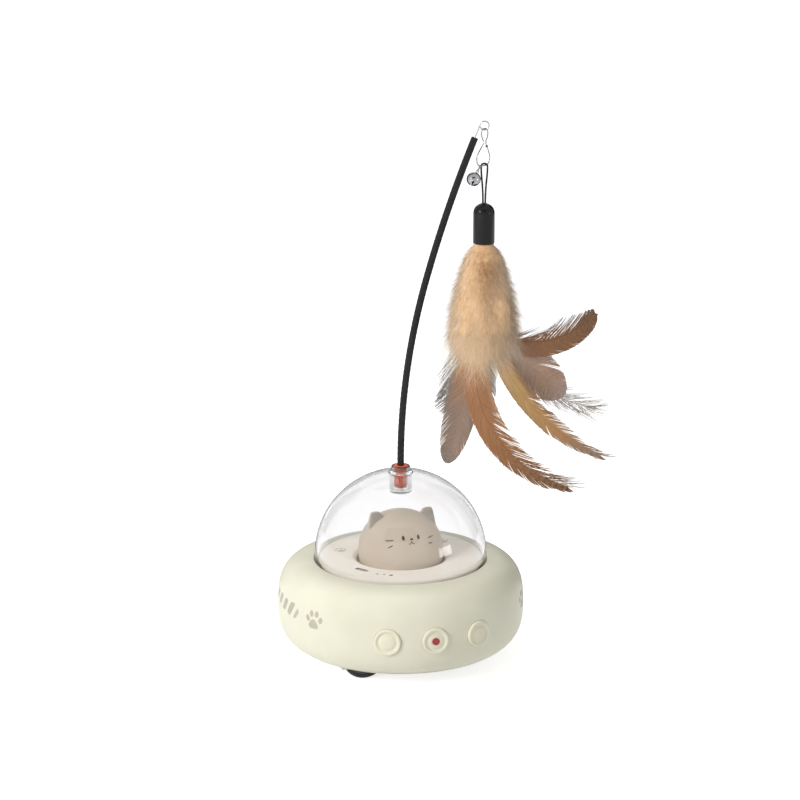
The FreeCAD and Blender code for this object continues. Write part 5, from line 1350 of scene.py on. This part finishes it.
fuzz, _ = drawn("fuzz", None, extrude=FUZZ_WIDTH / 2)
scatter(fuzz, chance, DOWN_STRANDS * 3 // 2, (0.01, 0.98), 0.8, (0.6, 2.2), (4.5, 9.0), 0.5)
scatter(fuzz, chance, DOWN_STRANDS // 3, (0.66, 0.99), 1, (0.05, 0.55), (8.0, 21.0), 0)
fuzz_cream = down_finish("cream_down", ((226, 196, 158), (236, 212, 180), (245, 231, 208)))
loose("plume_fuzz", fuzz, fuzz_cream, chance)


# Feathers: eight small rooster feathers. Each is a tapering quill with its barbs side by side in
# one plane, parted into locks, and their quills run up through the plume into the cap's resin.
BARB_GAP = 0.24
BARB_WIDTH = 0.4
BARB_LEAN = math.radians(35)
QUILL_ROOT = 22.0
FEATHERS = {
    "upper_right": ((8.0, 43.5), (31.2, 46.6), (52.4, 34.3), 7.0, 8.0, 0.0, (0.0, 0.05), (0.7, 0.15)),
    "round_right": ((5.0, 43.5), (22.6, 59.6), (40.0, 75.0), 10.0, 25.0, -5.0, (0.0, 0.05), (0.2, 0.0)),
    "long_right": ((6.5, 48.5), (23.2, 76.6), (54.8, 98.2), 4.2, -8.0, 0.0, (0.0, 0.35), (0.0, 0.9)),
    "frayed_right": ((8.0, 48.0), (28.0, 70.5), (56.0, 83.0), 6.5, 12.0, 8.0, (0.7, 1.0), (0.7, 1.0)),
    "amber": ((-1.6, 47.8), (5.2, 86.4), (41.0, 111.2), 6.2, -14.0, -4.2, (0.0, 0.3), (0.0, 1.0)),
    "left_inner": ((-5.4, 47.5), (-9.4, 73.9), (-16.9, 103.2), 7.3, 10.0, -0.8, (0.1, 0.0), (0.0, 0.0)),
    "left_outer": ((-7.4, 40.7), (-11.2, 61.5), (-17.4, 80.2), 9.4, -15.0, 0.0, (0.7, 0.5), (0.1, 0.3)),
    "pale_back": ((0.4, 46.0), (1.2, 72.0), (2.3, 93.5), 4.6, 0.0, 3.8, (0.2, 0.3), (0.2, 0.3)),
}


class Arc:
    """Quill line of a feather: the part of a circle through its root, bow and tip."""
    def __init__(self, root, bow, tip):
        a, b, c = [Vector((x, -drop)) for x, drop in (root, bow, tip)]
        cross = 2 * ((b - a).x * (c - a).y - (b - a).y * (c - a).x)
        u = (c - a).y * (b - a).length_squared - (b - a).y * (c - a).length_squared
        v = (b - a).x * (c - a).length_squared - (c - a).x * (b - a).length_squared
        self.centre = a + Vector((u, v)) / cross
        self.radius = (a - self.centre).length
        self.hand = 1 if cross > 0 else -1
        self.start = math.atan2(*reversed(a - self.centre))
        end = math.atan2(*reversed(c - self.centre))
        self.length = ((end - self.start) * self.hand) % (2 * math.pi) * self.radius

    def at(self, along):
        """Point at a length along the quill, and the quill's own way there."""
        turn = self.start + self.hand * max(0.0, along) / self.radius
        spot = self.centre + Vector((math.cos(turn), math.sin(turn))) * self.radius
        way = Vector((-math.sin(turn), math.cos(turn))) * self.hand
        return spot + way * min(0.0, along), way


def swell(share, half_width):
    """Half width of a feather's outline at a share of its length."""
    share = max(0.0, min(1.0, share))
    return 1.08 * half_width * math.sqrt(max(0.0, 1 - abs(2 * share ** 0.8 - 1) ** 2.6))


def barbs_of(length, half_width, looseness, chance):
    """Barbs of both vanes, flat in the plane with the root at 0 and the tip along Y."""
    curve, _ = drawn("barbs", None, extrude=BARB_WIDTH / 2, twist_mode="Z_UP")
    sweep = half_width / math.tan(BARB_LEAN) / length
    for side in (-1, 1):
        near, far = looseness[0 if side < 0 else 1]
        along = -5.0
        lock_end = along
        while along < length - 0.2:
            share = along / length
            loose = max(0.0, min(1.0, near + (far - near) * max(0.0, share) ** 1.5))
            if along >= lock_end:
                lock_end = along + chance.uniform(1.2, 8.0 - 5.6 * loose)
                lock_middle = (along + lock_end) / 2
                splay = chance.uniform(-0.01, 0.01) + loose * chance.uniform(-0.16, 0.22)
                reach = 1 - loose * chance.uniform(-0.15, 0.35)
                droop = (0.1 + loose) * chance.uniform(-1.0, 1.0)
                bunch = 0.02 + 0.36 * loose
            fan = max(0.0, share)
            tip_share = min(share + sweep * (1 + 0.8 * loose), 1 - (1 - fan) * 0.35 + 0.14 * loose)
            across = max(0.5, swell(min(tip_share, 1 - 0.22 * loose), half_width)) * reach
            across *= chance.uniform(0.97 - 0.08 * loose, 1.02)
            across *= 1 - 0.9 * max(0.0, (fan - 0.72) / 0.28) ** 2 * min(1.0, 2 * loose)
            forward = (tip_share - share) * length
            if share < 0.05:
                across = half_width * chance.uniform(0.45, 0.9)
                forward = across * chance.uniform(0.6, 1.6)
            stray = splay + chance.gauss(0, 0.008 + 0.05 * loose)
            across, forward = (across * math.cos(stray) + forward * math.sin(stray),
                               forward * math.cos(stray) - across * math.sin(stray))
            points = []
            for i in range(7):
                t = i / 6
                y = along + forward * t ** 1.25
                y += (lock_middle - along) * bunch * t * t
                x = side * across * t ** 0.9
                z = -0.012 * x * x + droop * t * t + chance.gauss(0, 0.03)
                points.append((x, y, z))
            ribbon(curve, points, math.pi / 2 - 0.13 * side, 0.3 + 0.55 * loose, 3.0 - 2.0 * loose,
                   1 - 0.4 * loose)
            along += BARB_GAP * (1 + 0.9 * loose)
    return curve


def quill_of(length):
    """Quill: round, pale and tapering, from high in the plume to the feather's tip."""
    curve, spline = drawn("quill", "POLY", bevel_depth=0.42, bevel_resolution=2, use_fill_caps=True)
    spline.points.add(30)
    for i, point in enumerate(spline.points):
        point.co = (0, -QUILL_ROOT + (length * 0.94 + QUILL_ROOT) * i / 30, 0.05, 1)
        point.radius = 1 - 0.93 * (i / 30) ** 1.2
    return curve


def feather_mesh(root, bow, tip, half_width, turn, depth, left_loose, right_loose, chance):
    """A feather authored flat with its UV map, then bent to its arc and turned to its place."""
    arc = Arc(root, bow, tip)
    mesh = as_mesh(barbs_of(arc.length, half_width, (left_loose, right_loose), chance))
    absorb(mesh, as_mesh(quill_of(arc.length)))
    for layer in list(mesh.loops.layers.uv):
        mesh.loops.layers.uv.remove(layer)
    layer = mesh.loops.layers.uv.new("UVMap")
    for facet in mesh.faces:
        for loop in facet.loops:
            flat = loop.vert.co
            loop[layer].uv = (0.5 + flat.x / (2 * half_width), flat.y / arc.length)
    set_back = Matrix.Rotation(math.radians(turn), 4, "Z") @ Matrix.Translation((0, depth, 0))
    for vert in mesh.verts:
        spot, way = arc.at(vert.co.y)
        side = Vector((-way.y, way.x))
        flat = spot + side * vert.co.x
        vert.co = set_back @ Vector((flat.x, -vert.co.z, CAP_FOOT + flat.y))
    carry(mesh, hang_place)
    return mesh


def vane(name, stops, edge, edge_from, mottle, mottle_from, mottle_most, middle_line=0.5):
    """Finish of a feather from its UV map: colours from root to tip, another tone towards both
    edges, and mottling that grows towards the tip."""
    material, tree, shader, place = blank(name)
    parts = add(tree, "SeparateXYZ", place["UV"]).node.outputs
    blotch = noise_of(tree, place["UV"], 1.0, 4.0, (2.0, 9.0, 1))
    shifted = add(tree, "Math", parts["Y"], span_of(tree, blotch, -0.05, 0.05), operation="ADD")
    base = ramp_of(tree, shifted, [(at, srgb(*tone)) for at, tone in stops])
    middle = add(tree, "Math", parts["X"], middle_line, operation="SUBTRACT")
    reach = add(tree, "Math", middle, operation="ABSOLUTE")
    edging = add(tree, "MapRange", reach, From_Min=edge_from, From_Max=0.5, To_Max=0.85)
    edged = add(tree, "Mix", data_type="RGBA", Factor=edging, A=base, B=srgb(*edge))
    spots = noise_of(tree, place["UV"], 1.0, 5.0, (9.0, 60.0, 1))
    growth = add(tree, "MapRange", parts["Y"], From_Min=mottle_from, To_Max=mottle_most)
    speckled = add(tree, "Math", span_of(tree, spots, -0.4, 1.6), growth, operation="MULTIPLY",
                   use_clamp=True)
    mottled = add(tree, "Mix", data_type="RGBA", Factor=speckled, A=edged, B=srgb(*mottle))
    sheared = add(tree, "Math", reach, -0.26, parts["Y"], operation="MULTIPLY_ADD")
    along_barbs = add(tree, "CombineXYZ", parts["X"], sheared)
    lines = noise_of(tree, along_barbs, 1.0, 3.0, (2.0, 110.0, 1))
    streaked = add(tree, "HueSaturation", Value=span_of(tree, lines, 0.72, 1.25), Color=mottled)
    feed(shader, Base_Color=streaked, Roughness=span_of(tree, lines, 0.45, 0.7),
         Normal=bump_of(tree, lines, 0.5, 0.0003), Sheen_Weight=0.2)
    return material


# Each row: slot, finish, colours from root to tip, edge tone and where it starts, mottling tone,
# where that starts and how strong it gets, and the middle line.
VANES = {
    "upper_right": ("feather_brown", "dark_brown_vane", ((0.0, (196, 158, 132)), (0.25, (146, 102, 72)),
                        (0.6, (142, 98, 60)), (1.0, (116, 88, 60))), (188, 180, 178), 0.36,
                        (88, 58, 38), 0.2, 0.6, 0.36),
    "round_right": ("feather_taupe", "taupe_vane", ((0.0, (208, 176, 146)), (0.3, (188, 158, 138)),
                        (0.75, (192, 156, 130)), (1.0, (196, 174, 160))), (172, 148, 130),
                        0.36, (140, 114, 98), 0.2, 0.3),
    "long_right": ("feather_amber", "olive_vane", ((0.0, (204, 166, 122)), (0.35, (182, 146, 92)),
                       (0.7, (176, 130, 84)), (1.0, (150, 128, 110))), (140, 104, 72), 0.34,
                       (124, 92, 64), 0.6, 0.7, 0.4),
    "frayed_right": ("feather_pale", "ash_vane", ((0.0, (212, 196, 182)), (0.5, (232, 226, 224)),
                         (0.85, (226, 220, 217)), (1.0, (160, 148, 136))), (236, 230, 228),
                         0.2, (170, 158, 148), 0.75, 0.7),
    "amber": ("feather_amber", "amber_vane", ((0.0, (200, 154, 112)), (0.25, (164, 114, 78)),
                  (0.65, (154, 106, 62)), (1.0, (134, 96, 62))), (176, 136, 100), 0.42,
                  (86, 58, 36), 0.5, 1.0, 0.44),
    "left_inner": ("feather_taupe", "broad_taupe_vane", ((0.0, (200, 152, 112)), (0.3, (176, 134, 104)),
                       (0.6, (160, 136, 120)), (0.85, (170, 142, 124)), (1.0, (152, 138, 126))),
                       (146, 134, 124), 0.36, (128, 104, 90), 0.4, 0.4),
    "left_outer": ("feather_taupe", "split_grey_vane", ((0.0, (220, 208, 192)), (0.35, (196, 190, 184)),
                       (1.0, (160, 152, 144))), (130, 118, 108), 0.34, (112, 102, 94), 0.3, 0.6),
    "pale_back": ("feather_pale", "pale_vane", ((0.0, (232, 214, 192)), (0.6, (236, 228, 224)),
                      (1.0, (230, 224, 224))), (240, 236, 234), 0.3, (212, 204, 200), 0.5, 0.4),
}
for name, sizes in FEATHERS.items():
    chance = random.Random(len(name) * 7 + ord(name[0]))
    slot, *look = VANES[name]
    belongs(shown("vane_" + name, feather_mesh(*sizes, chance), 180), vane(*look), "refill", slot,
            "feather_" + name)


# Wheels: two driven wheels under the casing, each a grey six-hole hub with a black rubber tyre
# pushed on. A third, a bright ball, rolls in a cup pressed into the lower casing.
rubber = moulded("tyre_rubber", (34, 33, 33), (24, 23, 24), rough=(0.55, 0.75), cloud=150.0,
                 grain=3200.0, dent=0.00006)
hub_grey = moulded("hub_grey", (86, 86, 88), (72, 72, 75), rough=(0.4, 0.55), cloud=120.0,
                   grain=2600.0, dent=0.00003)
for end in ("front", "rear"):
    body = end + "_wheel"
    belongs(smoothed(end + "_tyre_rubber", end + "_tyre"), rubber, body, "tyre_black", end + "_tyre")
    belongs(smoothed(end + "_hub_disc", end + "_wheel_hub"), hub_grey, body, "hub_grey",
            end + "_wheel_hub")
    belongs(smoothed(end + "_axle_pin", end + "_axle"), steel, body, "steel", end + "_axle")
belongs(smoothed("caster_steel_ball", "caster_ball", 60), steel, "caster", "steel", "caster_ball")
cup_black = moulded("caster_cup_black", (44, 43, 44), (32, 31, 33), rough=(0.4, 0.55),
                    cloud=140.0, grain=2600.0, dent=0.00004)
belongs(smoothed("caster_cup_insert", "caster_cup"), cup_black, "base", "holder_black", "caster_cup")


# Case screws and charging port: bright cross-head screws sunk in the lower casing, and a plated
# socket behind the slot at the back.
zinc = moulded("zinc_screw", (188, 190, 194), (158, 160, 166), rough=(0.25, 0.4), cloud=500.0,
               grain=3600.0, dent=0.00002, Metallic=1.0)
belongs(smoothed("cover_screws", "case_screws"), zinc, "base", "steel", "case_screws")
belongs(smoothed("port_socket", "charge_port"), steel, "base", "steel", "charge_port")


# Inside: boards, switches, cell, motors and gears as they were cut, each in its own finish. Boards
# are laminate, gears acetal, pinions brass, pins and shafts steel.
board_green = moulded("board_green", (30, 96, 60), (22, 78, 50), rough=(0.3, 0.45), cloud=220.0,
                      grain=1800.0, dent=0.00004)
switch_black = moulded("switch_black", (36, 36, 38), (26, 26, 28), rough=(0.4, 0.55), cloud=260.0,
                       grain=2600.0, dent=0.00003)
frame_white = moulded("frame_white", (222, 220, 214), (208, 206, 200), rough=(0.4, 0.55),
                      cloud=110.0, grain=2600.0, dent=0.00003)
cell_blue = moulded("cell_wrap", (44, 92, 150), (34, 78, 134), rough=(0.3, 0.42), cloud=90.0,
                    grain=1500.0, dent=0.00002)
motor_can = moulded("motor_can", (176, 178, 182), (150, 152, 158), rough=(0.28, 0.42),
                    cloud=260.0, grain=3200.0, dent=0.00002, Metallic=1.0)
gear_white = moulded("gear_acetal", (236, 234, 228), (220, 218, 212), rough=(0.35, 0.5),
                     cloud=200.0, grain=2400.0, dent=0.00002)
brass = moulded("turned_brass", (206, 168, 90), (182, 144, 72), rough=(0.22, 0.35), cloud=300.0,
                grain=3400.0, dent=0.00001, Metallic=1.0)
resin = moulded("set_resin", (206, 186, 140), (186, 164, 118), rough=(0.2, 0.35), cloud=260.0,
                grain=900.0, dent=0.00008)
INNER = {
    "push_switches": switch_black, "switch_boards": board_green, "switch_bracket": frame_white,
    "battery_cell": cell_blue, "cell_holder": switch_black, "main_board": board_green,
    "small_screws": zinc, "gear_pins": steel, "bell_pellet": steel, "feather_binding": resin,
}
for end in ("front", "rear"):
    INNER.update({end + "_axle_gear": gear_white, end + "_compound_gear": gear_white,
                  end + "_motor_pinion": brass, end + "_motor_shaft": steel,
                  end + "_motor": motor_can, end + "_gear_frame": frame_white})
for name, finish in INNER.items():
    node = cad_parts[name]
    node.data.materials.clear()
    node.data.materials.append(finish)

# The glint lamp lights only the cap, the bell, the wires and the elastic loop.
glint_takers = bpy.data.collections.new("glint_takers")
for name in ("bullet_cap", "bell_ball", "snap_clasp_wire", "tip_eye", "elastic_loop_cord"):
    glint_takers.objects.link(bpy.data.objects[name])
glint_lamp.light_linking.receiver_collection = glint_takers

bpy.context.view_layer.update()
